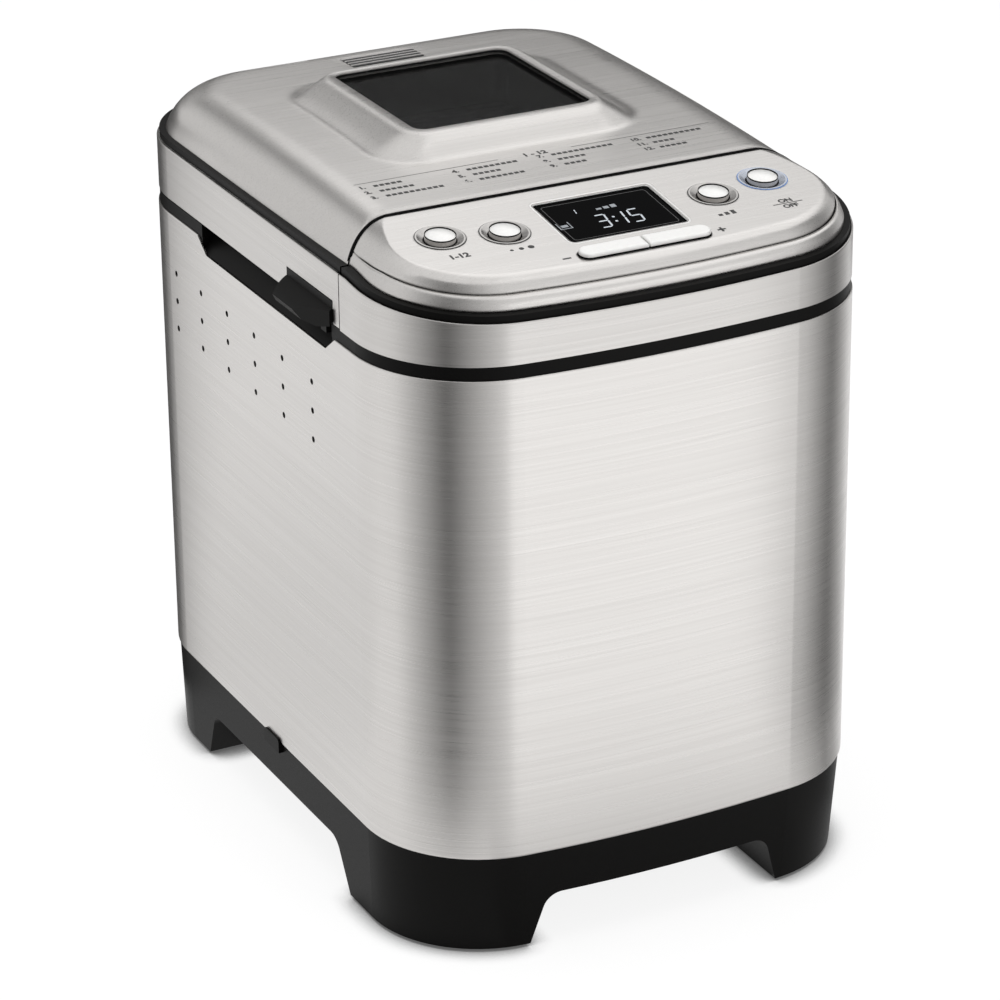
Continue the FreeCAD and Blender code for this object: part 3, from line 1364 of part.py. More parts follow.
def hinge_pins():
    spans = hinge_spans()
    return both_sides(along_hinge(HINGE_PIN_RADIUS, spans[0][0], spans[2][1]))


def lid_screws():
    """Screws that hold the liner to the lid's band, heads down."""
    screws = []
    for x, y in LID_SCREW_PLACES:
        head = screw(x, y, 0)
        head.rotate(V(x, y, 0), RIGHT, 180)
        head.translate(V(0, 0, LINER_Z))
        screws.append(head)
    return screws


def export_parts():
    os.makedirs("parts", exist_ok=True)
    for name in BUTTON_PLACES:
        save(name, round_button(name))
    save("minus_key", bar_key(-1))
    save("plus_key", bar_key(1))
    silver_rings = [name for name in BUTTON_PLACES if name != "start_button"]
    save("button_rings", *[button_ring(name) for name in silver_rings])
    save("start_ring", button_ring("start_button"))
    left, right = both_sides(lid_tab())
    save("lid_tab_left", left)
    save("lid_tab_right", right)
    groups = [
        foot_pads, element_clips, drive_bushes, chassis_screws, tact_switches,
        hinge_brackets, hinge_pins, lid_knuckles, lid_screws, pan_ears,
    ]
    for make in groups:
        save(make.__name__, *make())
    singles = [
        base_moulding, cord_gland, body_wrap, top_collar, chamber, heating_element, temperature_sensor,
        pan_socket, bearing_housing, chassis_plate, motor_body, motor_capacitor, power_board, drive_belt,
        head_trim, head_band, head_shell, control_panel, display_lens, display_module, control_board,
        lid_trim, lid_band, lid_cover, lid_liner, window_glass, window_seal, window_frame, inner_glass,
        drive_shaft, drive_coupling, large_pulley, shaft_circlip, motor_shaft, small_pulley,
        bread_pan, pan_base, bail_handle, pan_shaft, kneading_paddle,
    ]
    for make in singles:
        save(make.__name__, make())


export_parts()
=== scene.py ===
import json
import math

import bmesh
import bpy
from mathutils import Matrix, Vector
from mathutils.bvhtree import BVHTree

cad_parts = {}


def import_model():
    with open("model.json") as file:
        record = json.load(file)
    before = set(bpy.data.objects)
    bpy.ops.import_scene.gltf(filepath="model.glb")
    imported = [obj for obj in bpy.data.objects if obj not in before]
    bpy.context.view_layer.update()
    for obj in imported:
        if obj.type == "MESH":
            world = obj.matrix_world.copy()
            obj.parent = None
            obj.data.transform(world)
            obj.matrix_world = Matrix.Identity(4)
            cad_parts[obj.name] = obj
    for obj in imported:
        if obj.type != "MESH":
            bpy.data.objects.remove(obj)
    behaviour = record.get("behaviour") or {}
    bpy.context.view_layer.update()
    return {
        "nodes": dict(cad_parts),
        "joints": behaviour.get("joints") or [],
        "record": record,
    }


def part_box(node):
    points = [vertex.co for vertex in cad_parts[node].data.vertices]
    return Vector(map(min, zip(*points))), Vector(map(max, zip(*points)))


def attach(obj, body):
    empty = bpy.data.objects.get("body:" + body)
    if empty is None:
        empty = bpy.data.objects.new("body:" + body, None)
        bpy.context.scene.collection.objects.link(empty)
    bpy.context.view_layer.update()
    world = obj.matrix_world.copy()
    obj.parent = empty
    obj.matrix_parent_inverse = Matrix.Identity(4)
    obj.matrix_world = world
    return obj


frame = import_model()

# Sizes are in metres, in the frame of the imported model: +Z up, front at -Y.
MM = 0.001
NODES = frame["nodes"]

# Camera: where it stands, where it points, and its focal length as a share of the picture's width
CAMERA_PLACE = Vector((-0.8787, -1.7487, 1.0216))
CAMERA_AZIMUTH = math.radians(-26.75)
CAMERA_ELEVATION = math.radians(23.816)
CAMERA_ROLL = math.radians(-0.6)
FOCAL_SHARE = 4.16
SENSOR_WIDTH = 36.0
NEAR_CLIP = 0.05
FAR_CLIP = 50.0

# Control panel: the buttons move along its normal, and the lens lies a little below its face
PRESS_AXIS = next(joint["axis"] for joint in frame["joints"] if joint["name"] == "start_button_press")
PANEL_NORMAL = -Vector(PRESS_AXIS)
PANEL_UP = Vector((0, PANEL_NORMAL.z, -PANEL_NORMAL.y))
LENS_DROP = 1.0 * MM
LENS_UNDERSIDE = 3.0 * MM
LENS_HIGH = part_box("display_lens")[1]
PANEL_ORIGIN = Vector((0, LENS_HIGH.y + LENS_UNDERSIDE * PANEL_NORMAL.y,
                       LENS_HIGH.z + LENS_DROP * PANEL_NORMAL.z))
LENS_HALF = 31.0 * MM
LENS_FRONT = -42.0 * MM
LENS_CORNER = 2.5 * MM
RING_RADIUS = 11.9 * MM
CAP_RADIUS = 7.4 * MM
OUTER_BUTTON = (86.3 * MM, -15.1 * MM)
INNER_BUTTON = (55.7 * MM, -21.2 * MM)
KEY_ROW = -55.5 * MM

# Lid: a cylinder across the machine gives the crown its height
CROWN_TOP = 361.2 * MM
CROWN_RADIUS = 3.170
CROWN_Y = 44.2 * MM

# Printed marks: thickness of the ink, height of a capital as a share of the font's size, and how much
# bolder letters are than the plain font, as a share of their height
INK = 0.04 * MM
CAPITAL_SHARE = 0.7
BOLD = 0.065


# Node helpers: a noise value is used between these two levels, and slow nodes take this many samples
NOISE_LOW = 0.3
NOISE_HIGH = 0.7
NODE_SAMPLES = 8


def principled(material):
    return material.node_tree.nodes["Principled BSDF"]


def new_material(name, roughness, metallic):
    material = bpy.data.materials.new(name)
    material.use_nodes = True
    shader = principled(material)
    shader.inputs["Roughness"].default_value = roughness
    shader.inputs["Metallic"].default_value = metallic
    return material, material.node_tree, shader


def noise(tree, scale, detail=3.0):
    """Noise on the object's own coordinates, with a scale per metre along each axis."""
    place = tree.nodes.new("ShaderNodeTexCoord")
    mapping = tree.nodes.new("ShaderNodeMapping")
    texture = tree.nodes.new("ShaderNodeTexNoise")
    mapping.inputs["Scale"].default_value = scale
    texture.inputs["Scale"].default_value = 1.0
    texture.inputs["Detail"].default_value = detail
    tree.links.new(place.outputs["Object"], mapping.inputs["Vector"])
    tree.links.new(mapping.outputs["Vector"], texture.inputs["Vector"])
    return texture.outputs["Fac"]


def mapped(tree, value, source, target):
    """Map a value from one range to another, each given by its two ends."""
    span = tree.nodes.new("ShaderNodeMapRange")
    span.inputs["From Min"].default_value, span.inputs["From Max"].default_value = source
    span.inputs["To Min"].default_value, span.inputs["To Max"].default_value = target
    tree.links.new(value, span.inputs["Value"])
    return span.outputs["Result"]


def two_tones(tree, value, dark, light):
    ramp = tree.nodes.new("ShaderNodeValToRGB")
    ramp.color_ramp.elements[0].position = NOISE_LOW
    ramp.color_ramp.elements[0].color = (*dark, 1)
    ramp.color_ramp.elements[1].position = NOISE_HIGH
    ramp.color_ramp.elements[1].color = (*light, 1)
    tree.links.new(value, ramp.inputs["Fac"])
    return ramp.outputs["Color"]


def bumped(tree, shader, value, height):
    bump = tree.nodes.new("ShaderNodeBump")
    bump.inputs["Distance"].default_value = height
    tree.links.new(value, bump.inputs["Height"])
    tree.links.new(bump.outputs["Normal"], shader.inputs["Normal"])
    return bump


def soft_edges(tree, radius, half_width):
    """Normal of a surface whose edges look rounded by the radius, within the half width of the middle."""
    place = tree.nodes.new("ShaderNodeTexCoord")
    split = tree.nodes.new("ShaderNodeSeparateXYZ")
    distance = tree.nodes.new("ShaderNodeMath")
    distance.operation = "ABSOLUTE"
    rounding = tree.nodes.new("ShaderNodeBevel")
    rounding.samples = NODE_SAMPLES
    tree.links.new(place.outputs["Object"], split.inputs[0])
    tree.links.new(split.outputs["X"], distance.inputs[0])
    fading = mapped(tree, distance.outputs[0], (half_width, half_width + radius), (radius, 0.0))
    tree.links.new(fading, rounding.inputs["Radius"])
    return rounding.outputs["Normal"]


def surface(name, dark, light, roughness, grain, relief, metallic=0.0, gloss=0.5):
    """Material with a grain in its colour, roughness and relief. roughness is a low and a high value, and
    grain is a scale per metre, one for all axes or one for each."""
    material, tree, shader = new_material(name, roughness[0], metallic)
    shader.inputs["Specular IOR Level"].default_value = gloss
    pattern = noise(tree, grain if isinstance(grain, tuple) else (grain, grain, grain))
    tree.links.new(two_tones(tree, pattern, dark, light), shader.inputs["Base Color"])
    tree.links.new(mapped(tree, pattern, (NOISE_LOW, NOISE_HIGH), roughness), shader.inputs["Roughness"])
    bumped(tree, shader, pattern, relief)
    return material


# Openness of a place, from the share of its surroundings that is free: closed and open ends of that share
CLOSED_SHARE = 0.4
OPEN_SHARE = 0.8


def openness(tree, reach, low, high):
    """Value that falls from high on open surfaces to low where other surfaces stand within reach."""
    enclosure = tree.nodes.new("ShaderNodeAmbientOcclusion")
    enclosure.samples = NODE_SAMPLES
    enclosure.inputs["Distance"].default_value = reach
    return mapped(tree, enclosure.outputs["AO"], (CLOSED_SHARE, OPEN_SHARE), (low, high))


def shade_painted_in_gaps(tree, colour, reach, least):
    """Paint shade into a colour where other surfaces stand within reach of it, darkening it down to the
    least share of it.
    """
    scaled = tree.nodes.new("ShaderNodeVectorMath")
    scaled.operation = "SCALE"
    tree.links.new(colour, scaled.inputs["Vector"])
    tree.links.new(openness(tree, reach, least, 1.0), scaled.inputs["Scale"])
    return scaled.outputs["Vector"]


# Brushed steel: scales are per metre along and across the brush lines, and a soft edge is a radius and a
# half width
STEEL_DARK = Vector((0.590, 0.573, 0.556))
STEEL_LIGHT = Vector((0.630, 0.613, 0.596))
STEEL_ROUGHNESS = (0.26, 0.36)
SCRATCH_DEPTH = 0.006 * MM
ALONG_GRAIN = 9
ACROSS_GRAIN = 2600
ALONG_STREAKS = 3
ACROSS_STREAKS = 900
STREAK_DETAIL = 2.0
STRETCH = 0.6
QUARTER_TURN = 0.25
# Painted shade in the grooves and gaps of the lid and panel: how far it reaches, and the least share of
# colour left
GAP_SHADE_REACH = 2.2 * MM
GAP_SHADE_TONE = 0.1
LID_SOFT_EDGE = (9.0 * MM, 106.0 * MM)
PANEL_SOFT_EDGE = (2.0 * MM, 140.0 * MM)
TRIM_TONE = 0.9
RING_TONE = 0.8


def brushed_steel(name, grain, tangent_axis, tone=1.0, gap_shade_reach=0.0, soft_edge=None):
    """Brushed sheet: fine scratches in roughness and relief, broader streaks in colour, gloss stretched
    across the grain, and, given a reach, painted shade in its grooves and gaps. grain holds 1 for an axis
    across the brush lines and 0 for one along them."""
    material, tree, shader = new_material(name, STEEL_ROUGHNESS[0], 1.0)
    scratches = noise(tree, [ACROSS_GRAIN if across else ALONG_GRAIN for across in grain])
    streaks = noise(tree, [ACROSS_STREAKS if across else ALONG_STREAKS for across in grain], STREAK_DETAIL)
    colour = two_tones(tree, streaks, STEEL_DARK * tone, STEEL_LIGHT * tone)
    # Painted shade: the colour darkens in grooves, in gaps and round raised parts
    if gap_shade_reach:
        colour = shade_painted_in_gaps(tree, colour, gap_shade_reach, GAP_SHADE_TONE)
    tree.links.new(colour, shader.inputs["Base Color"])
    roughness = mapped(tree, scratches, (NOISE_LOW, NOISE_HIGH), STEEL_ROUGHNESS)
    tree.links.new(roughness, shader.inputs["Roughness"])
    bump = bumped(tree, shader, scratches, SCRATCH_DEPTH)
    if soft_edge:
        tree.links.new(soft_edges(tree, *soft_edge), bump.inputs["Normal"])
    shader.inputs["Anisotropic"].default_value = STRETCH
    shader.inputs["Anisotropic Rotation"].default_value = QUARTER_TURN
    tangent = tree.nodes.new("ShaderNodeTangent")
    tangent.direction_type = "RADIAL"
    tangent.axis = tangent_axis
    tree.links.new(tangent.outputs["Tangent"], shader.inputs["Tangent"])
    return material


def wall_steel():
    return brushed_steel("wall_steel", (0, 0, 1), "Z")


def trim_steel():
    return brushed_steel("trim_steel", (0, 0, 1), "Z", TRIM_TONE)


def lid_steel():
    return brushed_steel("lid_steel", (0, 1, 1), "Y", gap_shade_reach=GAP_SHADE_REACH, soft_edge=LID_SOFT_EDGE)


def panel_steel():
    return brushed_steel("panel_steel", (0, 1, 1), "Y", gap_shade_reach=GAP_SHADE_REACH, soft_edge=PANEL_SOFT_EDGE)


def ring_steel():
    return brushed_steel("ring_steel", (0, 1, 1), "Y", RING_TONE)


# Other materials
def black_plastic():
    return surface("moulded_black", dark=(0.004, 0.0038, 0.0036), light=(0.006, 0.0057, 0.0054),
                   roughness=(0.34, 0.46), grain=1800, relief=0.008 * MM, gloss=0.06)


def rubber():
    return surface("foot_rubber", dark=(0.02, 0.02, 0.02), light=(0.035, 0.034, 0.033),
                   roughness=(0.75, 0.9), grain=900, relief=0.02 * MM)


def oven_steel():
    return surface("oven_sheet", dark=(0.42, 0.42, 0.41), light=(0.52, 0.52, 0.51),
                   roughness=(0.35, 0.55), grain=(120, 120, 500), relief=0.01 * MM, metallic=1.0)


def heater_sheath():
    return surface("heater_sheath", dark=(0.05, 0.045, 0.042), light=(0.12, 0.105, 0.095),
                   roughness=(0.45, 0.65), grain=150, relief=0.02 * MM, metallic=0.7)


def cast_alloy():
    return surface("cast_alloy", dark=(0.5, 0.5, 0.49), light=(0.6, 0.6, 0.59),
                   roughness=(0.5, 0.68), grain=500, relief=0.04 * MM, metallic=1.0)


def bronze():
    return surface("sintered_bronze", dark=(0.5, 0.33, 0.14), light=(0.62, 0.43, 0.2),
                   roughness=(0.4, 0.55), grain=900, relief=0.01 * MM, metallic=1.0)


def plated_steel():
    return surface("plated_steel", dark=(0.62, 0.62, 0.62), light=(0.72, 0.72, 0.71),
                   roughness=(0.18, 0.3), grain=300, relief=0.004 * MM, metallic=1.0)


def capacitor_can():
    return surface("drawn_can", dark=(0.5, 0.51, 0.53), light=(0.6, 0.61, 0.62),
                   roughness=(0.25, 0.4), grain=(30, 30, 900), relief=0.004 * MM, metallic=1.0)


def circuit_board():
    return surface("board_laminate", dark=(0.02, 0.10, 0.045), light=(0.03, 0.14, 0.06),
                   roughness=(0.3, 0.45), grain=400, relief=0.01 * MM)


def switch_black():
    return surface("switch_black", dark=(0.014, 0.014, 0.014), light=(0.022, 0.022, 0.022),
                   roughness=(0.35, 0.5), grain=1500, relief=0.01 * MM)


def button_silver():
    return surface("silver_lacquer", dark=(0.83, 0.825, 0.81), light=(0.87, 0.865, 0.85),
                   roughness=(0.30, 0.38), grain=700, relief=0.0004 * MM, metallic=0.2)


def start_blue():
    return surface("blue_ring", dark=(0.46, 0.49, 0.56), light=(0.52, 0.55, 0.61),
                   roughness=(0.25, 0.35), grain=700, relief=0.002 * MM, metallic=0.8)


def shadow_black():
    """Dull black that paints shade in gaps, along the seam and on the sides of caps and keys."""
    return surface("shadow_black", dark=(0.003, 0.003, 0.003), light=(0.005, 0.005, 0.005),
                   roughness=(0.6, 0.7), grain=1500, relief=0.004 * MM, gloss=0.01)


def blue_line():
    return surface("blue_line", dark=(0.10, 0.22, 0.52), light=(0.14, 0.28, 0.60),
                   roughness=(0.3, 0.4), grain=700, relief=0.002 * MM)


def display_black():
    return surface("display_black", dark=(0.0010, 0.0010, 0.0011), light=(0.0016, 0.0016, 0.0018),
                   roughness=(0.08, 0.14), grain=60, relief=0.001 * MM, gloss=0.004)


def window_glass():
    """Tinted pane with weak reflections."""
    material = surface("window_pane", dark=(0.30, 0.30, 0.295), light=(0.34, 0.34, 0.335),
                       roughness=(0.02, 0.05), grain=40, relief=0.0005 * MM)
    principled(material).inputs["Transmission Weight"].default_value = 1.0
    principled(material).inputs["IOR"].default_value = 1.14
    return material


def nonstick():
    return surface("nonstick_coat", dark=(0.030, 0.030, 0.031), light=(0.05, 0.05, 0.051),
                   roughness=(0.4, 0.55), grain=1400, relief=0.02 * MM, metallic=0.3)


def ink():
    return surface("panel_ink", dark=(0.02, 0.02, 0.02), light=(0.035, 0.034, 0.033),
                   roughness=(0.5, 0.65), grain=2000, relief=0.002 * MM)


def lit_segment(name, level):
    """Pale display segments that give off a little light of their own."""
    dark = Vector((0.46, 0.50, 0.54)) * level
    light = Vector((0.54, 0.58, 0.62)) * level
    material = surface(name, dark, light, roughness=(0.4, 0.5), grain=900, relief=0.001 * MM)
    principled(material).inputs["Emission Color"].default_value = (0.75, 0.82, 0.9, 1)
    principled(material).inputs["Emission Strength"].default_value = 0.12 * level
    return material


def faint_line():
    return surface("faint_line", dark=(0.05, 0.05, 0.05), light=(0.09, 0.09, 0.09),
                   roughness=(0.3, 0.4), grain=900, relief=0.001 * MM)


MATERIALS = {
    "brushed_steel": wall_steel(),
    "black_plastic": black_plastic(),
    "rubber": rubber(),
    "oven_steel": oven_steel(),
    "heater_sheath": heater_sheath(),
    "cast_alloy": cast_alloy(),
    "bronze": bronze(),
    "plated_steel": plated_steel(),
    "capacitor_can": capacitor_can(),
    "circuit_board": circuit_board(),
    "switch_black": switch_black(),
    "button_silver": button_silver(),
    "start_blue": start_blue(),
    "display_black": display_black(),
    "window_glass": window_glass(),
    "nonstick": nonstick(),
}
TRIM_STEEL = trim_steel()
RING_STEEL = ring_steel()
OWN_FINISH = {
    "control_panel": panel_steel(),
    "lid_cover": lid_steel(),
    "lid_trim": TRIM_STEEL,
    "head_trim": TRIM_STEEL,
    "button_rings": RING_STEEL,
}
INK_BLACK = ink()
LIT = lit_segment("lit_segment", 1.0)
DIMLY_LIT = lit_segment("dim_segment", 0.5)
FAINT = faint_line()
BLUE_LINE = blue_line()
SHADOW_BLACK = shadow_black()


def dress_cad_nodes():
    for part in frame["record"]["subparts"]:
        node = NODES[part["node"]]
        node.data.materials.clear()
        node.data.materials.append(OWN_FINISH.get(part["node"], MATERIALS[part["material_slot"]]))


# Mesh helpers: pieces are drawn in surface coordinates and then laid on the panel or on the lid
MERGE_DISTANCE = 1e-7


def on_panel(u, v, w):
    return PANEL_ORIGIN + Vector((u, 0, 0)) + PANEL_UP * v + PANEL_NORMAL * w


def on_lens(u, v, w):
    return on_panel(u, v, w - LENS_DROP)


def in_place(x, y, z):
    return Vector((x, y, z))


def on_crown(x, y, rise):
    fall = CROWN_RADIUS - math.sqrt(CROWN_RADIUS ** 2 - (y - CROWN_Y) ** 2)
    return Vector((x, y, CROWN_TOP - fall + rise))


def in_mm(points):
    return [(a * MM, b * MM) for a, b in points]


def add_sides(mesh, this, following):
    """Faces between two closed loops with as many points."""
    count = len(this)
    for i in range(count):
        j = (i + 1) % count
        mesh.faces.new((this[i], this[j], following[j], following[i]))


def add_prism(mesh, outline, low, high):
    """Closed prism over a flat outline given anticlockwise."""
    below = [mesh.verts.new((a, b, low)) for a, b in outline]
    above = [mesh.verts.new((a, b, high)) for a, b in outline]
    mesh.faces.new(above)
    mesh.faces.new(reversed(below))
    add_sides(mesh, below, above)


def add_bar(mesh, x0, x1, y0, y1):
    add_prism(mesh, [(x0, y0), (x1, y0), (x1, y1), (x0, y1)], 0, INK)


def add_disc(mesh, x, y, radius, steps=24):
    turns = [2 * math.pi * i / steps for i in range(steps)]
    add_prism(mesh, [(x + radius * math.cos(t), y + radius * math.sin(t)) for t in turns], 0, INK)


def add_ring(mesh, outline, profile):
    """Closed ring: outline gives a loop of points for an offset, profile a loop of offsets and heights."""
    loops = [[mesh.verts.new((a, b, height)) for a, b in outline(offset)] for offset, height in profile]
    for this, following in zip(loops, loops[1:] + loops[:1]):
        add_sides(mesh, this, following)


def circle(u, v, radius, steps=96):
    def outline(offset):
        turns = [2 * math.pi * i / steps for i in range(steps)]
        return [(u + (radius + offset) * math.cos(t), v + (radius + offset) * math.sin(t)) for t in turns]
    return outline


def rounded_rectangle(half, front, back, corner, steps=8):
    def outline(offset):
        radius = corner + offset
        points = []
        corners = [(half - corner, front + corner, -90), (half - corner, back - corner, 0),
                   (corner - half, back - corner, 90), (corner - half, front + corner, 180)]
        for x, y, start in corners:
            for i in range(steps + 1):
                turn = math.radians(start + 90 * i / steps)
                points.append((x + radius * math.cos(turn), y + radius * math.sin(turn)))
        return points
    return outline


def add_words(mesh, words, height, x, y):
    """Plain numbers or signs, centred on x, standing on y."""
    curve = bpy.data.curves.new("words", "FONT")
    curve.body = words
    curve.size = height / CAPITAL_SHARE
    curve.extrude = INK / 2
    curve.offset = BOLD * height
    curve.align_x = "CENTER"
    holder = bpy.data.objects.new("words", curve)
    bpy.context.scene.collection.objects.link(holder)
    depsgraph = bpy.context.evaluated_depsgraph_get()
    flat = bpy.data.meshes.new_from_object(holder.evaluated_get(depsgraph))
    flat.transform(Matrix.Translation((x, y, INK / 2)))
    mesh.from_mesh(flat)
    bpy.data.objects.remove(holder)
    bpy.data.curves.remove(curve)
    bpy.data.meshes.remove(flat)


def lay(name, mesh, surface_map, material, body="root", smooth=False):
    """Turn surface coordinates into a piece that rides on a body."""
    bmesh.ops.remove_doubles(mesh, verts=mesh.verts, dist=MERGE_DISTANCE)
    for vertex in mesh.verts:
        vertex.co = surface_map(*vertex.co)
    bmesh.ops.recalc_face_normals(mesh, faces=mesh.faces)
    for face in mesh.faces:
        face.smooth = smooth
    data = bpy.data.meshes.new(name)
    mesh.to_mesh(data)
    mesh.free()
    data.materials.append(material)
    piece = bpy.data.objects.new(name, data)
    bpy.context.scene.collection.objects.link(piece)
    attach(piece, body)


# Display digits: plain seven-segment figures with a colon, and a small program number
DIGIT_HEIGHT = 12.5 * MM
DIGIT_WIDTH = 6.0 * MM
DIGIT_STROKE = 0.95 * MM
DIGIT_LEAN = 0.13
DIGIT_FOOT = -32.0 * MM
DIGIT_PLACES = (("3", -9.4 * MM), ("1", -0.4 * MM), ("5", 8.0 * MM))
SEGMENTS = {"1": "bc", "3": "abgcd", "5": "afgcd"}
SEGMENT_GAP = 0.3
COLON_X = -0.6 * MM
COLON_RISES = (0.32, 0.68)
COLON_RADIUS = 0.75 * MM
COLON_STEPS = 12
PROGRAM_X = -18.5 * MM
PROGRAM_FOOT = -14.5 * MM
PROGRAM_WIDTH = 2.0 * MM
PROGRAM_HEIGHT = 4.2 * MM
PROGRAM_STROKE = 0.6 * MM


def segment(mesh, start, end, stroke):
    """One pointed bar of a digit, leaning with it."""
    a = Vector(start)
    b = Vector(end)
    along = (b - a).normalized() * stroke / 2
    across = Vector((-along.y, along.x))
    gap = along * SEGMENT_GAP
    points = [a + gap, a + along + gap - across, b - along - gap - across,
              b - gap, b - along - gap + across, a + along + gap + across]
    add_prism(mesh, [(p.x + DIGIT_LEAN * (p.y - DIGIT_FOOT), p.y) for p in points], 0, INK)


def digit(mesh, figure, x, foot, width, height, stroke):
    middle = foot + height / 2
    top = foot + height
    places = {
        "a": ((x, top), (x + width, top)),
        "b": ((x + width, middle), (x + width, top)),
        "c": ((x + width, foot), (x + width, middle)),
        "d": ((x, foot), (x + width, foot)),
        "f": ((x, middle), (x, top)),
        "g": ((x, middle), (x + width, middle)),
    }
    for letter in SEGMENTS[figure]:
        segment(mesh, *places[letter], stroke)


def display_digits():
    mesh = bmesh.new()
    for figure, x in DIGIT_PLACES:
        digit(mesh, figure, x, DIGIT_FOOT, DIGIT_WIDTH - DIGIT_STROKE, DIGIT_HEIGHT, DIGIT_STROKE)
    for rise in COLON_RISES:
        x = COLON_X + rise * DIGIT_LEAN * DIGIT_HEIGHT
        add_disc(mesh, x, DIGIT_FOOT + rise * DIGIT_HEIGHT, COLON_RADIUS, COLON_STEPS)
    digit(mesh, "1", PROGRAM_X, PROGRAM_FOOT, PROGRAM_WIDTH, PROGRAM_HEIGHT, PROGRAM_STROKE)
    lay("display_digits", mesh, on_lens, LIT)


# Display signs: three bars of rising height and a small open pan
BAR_COUNT = 3
BAR_X = -3.5 * MM
BAR_STEP = 4.0 * MM
BAR_WIDTH = 2.8 * MM
BAR_FOOT = -14.5 * MM
BAR_HEIGHT = 1.6 * MM
BAR_RISE = 0.7 * MM
PAN_LEFT = -29.0 * MM
PAN_RIGHT = -22.5 * MM
PAN_FOOT = -26.5 * MM
PAN_TOP = -20.5 * MM
PAN_STROKE = 0.5 * MM
DOUGH_INSET = 1.5 * MM
DOUGH_LOW = 1.2 * MM
DOUGH_HIGH = 3.4 * MM


def display_signs():
    mesh = bmesh.new()
    for i in range(BAR_COUNT):
        x = BAR_X + BAR_STEP * i
        add_bar(mesh, x, x + BAR_WIDTH, BAR_FOOT, BAR_FOOT + BAR_HEIGHT + BAR_RISE * i)
    add_bar(mesh, PAN_LEFT, PAN_LEFT + PAN_STROKE, PAN_FOOT, PAN_TOP)
    add_bar(mesh, PAN_RIGHT - PAN_STROKE, PAN_RIGHT, PAN_FOOT, PAN_TOP)
    add_bar(mesh, PAN_LEFT, PAN_RIGHT, PAN_FOOT - PAN_STROKE, PAN_FOOT)
    add_bar(mesh, PAN_LEFT + DOUGH_INSET, PAN_RIGHT - DOUGH_INSET,
            PAN_FOOT + DOUGH_LOW, PAN_FOOT + DOUGH_HIGH)
    lay("display_signs", mesh, on_lens, DIMLY_LIT)


# Display edges: the frame line lies inside the lens, the bezel round it. The profile is in millimetres.
FRAME_INSET = 3.2 * MM
FRAME_CORNER = 1.5 * MM
FRAME_STROKE = 0.25 * MM
BEZEL_PROFILE = ((0.05, -0.95), (0.2, -0.5), (0.6, -0.12), (1.2, 0.06), (1.9, 0.02), (1.9, -0.3),
                 (0.35, -0.95))


def display_frame_line():
    """Edge of the display glass, seen faintly through the lens."""
    mesh = bmesh.new()
    front = LENS_FRONT + FRAME_INSET
    outline = rounded_rectangle(LENS_HALF - FRAME_INSET, front, -FRAME_INSET, FRAME_CORNER)
    add_ring(mesh, outline, [(0, 0), (FRAME_STROKE, 0), (FRAME_STROKE, INK), (0, INK)])
    lay("display_frame_line", mesh, on_lens, FAINT)


def display_bezel():
    """Turned-in edge of the panel round the lens."""
    mesh = bmesh.new()
    outline = rounded_rectangle(LENS_HALF, LENS_FRONT, 0, LENS_CORNER)
    add_ring(mesh, outline, in_mm(BEZEL_PROFILE))
    lay("display_bezel", mesh, on_panel, MATERIALS["button_silver"], smooth=True)


# Panel marks: a number range, three dots, three bars, ON and OFF beside a line, minus and plus
RANGE_PLACE = (-86.3 * MM, -37.0 * MM)
RANGE_HEIGHT = 4.0 * MM
MARK_COUNT = 3
DOT_PLACE = (-61.0 * MM, -38.8 * MM)
DOT_STEP = 5.0 * MM
DOT_RADIUS = 0.9 * MM
DOT_GROWTH = 0.35 * MM
STEP_PLACE = (47.0 * MM, -43.2 * MM)
STEP_PITCH = 3.6 * MM
STEP_WIDTH = 2.2 * MM
STEP_HEIGHT = 2.0 * MM
STEP_RISE = 0.9 * MM
SWITCH_X = 84.5 * MM
SWITCH_LINE = -42.5 * MM
SWITCH_LINE_HALF = (8.0 * MM, 0.3 * MM)
SWITCH_HEIGHT = 3.2 * MM
ON_FOOT = -41.3 * MM
OFF_FOOT = -47.0 * MM
SIGN_X = 41.0 * MM
SIGN_ARM = 2.2 * MM
SIGN_STROKE = 0.6 * MM


def add_block(mesh, place, half_size):
    x, y = place
    half_width, half_height = half_size
    add_bar(mesh, x - half_width, x + half_width, y - half_height, y + half_height)


def panel_marks():
    mesh = bmesh.new()
    add_words(mesh, "1-12", RANGE_HEIGHT, *RANGE_PLACE)
    for i in range(MARK_COUNT):
        add_disc(mesh, DOT_PLACE[0] + DOT_STEP * i, DOT_PLACE[1], DOT_RADIUS + DOT_GROWTH * i)
    for i in range(MARK_COUNT):
        x = STEP_PLACE[0] + STEP_PITCH * i
        foot = STEP_PLACE[1]
        add_bar(mesh, x, x + STEP_WIDTH, foot, foot + STEP_HEIGHT + STEP_RISE * i)
    add_words(mesh, "ON", SWITCH_HEIGHT, SWITCH_X, ON_FOOT)
    add_block(mesh, (SWITCH_X, SWITCH_LINE), SWITCH_LINE_HALF)
    add_words(mesh, "OFF", SWITCH_HEIGHT, SWITCH_X, OFF_FOOT)
    for side in (-1, 1):
        add_block(mesh, (side * SIGN_X, KEY_ROW), (SIGN_ARM, SIGN_STROKE))
    add_block(mesh, (SIGN_X, KEY_ROW), (SIGN_STROKE, SIGN_ARM))
    lay("panel_marks", mesh, on_panel, INK_BLACK)


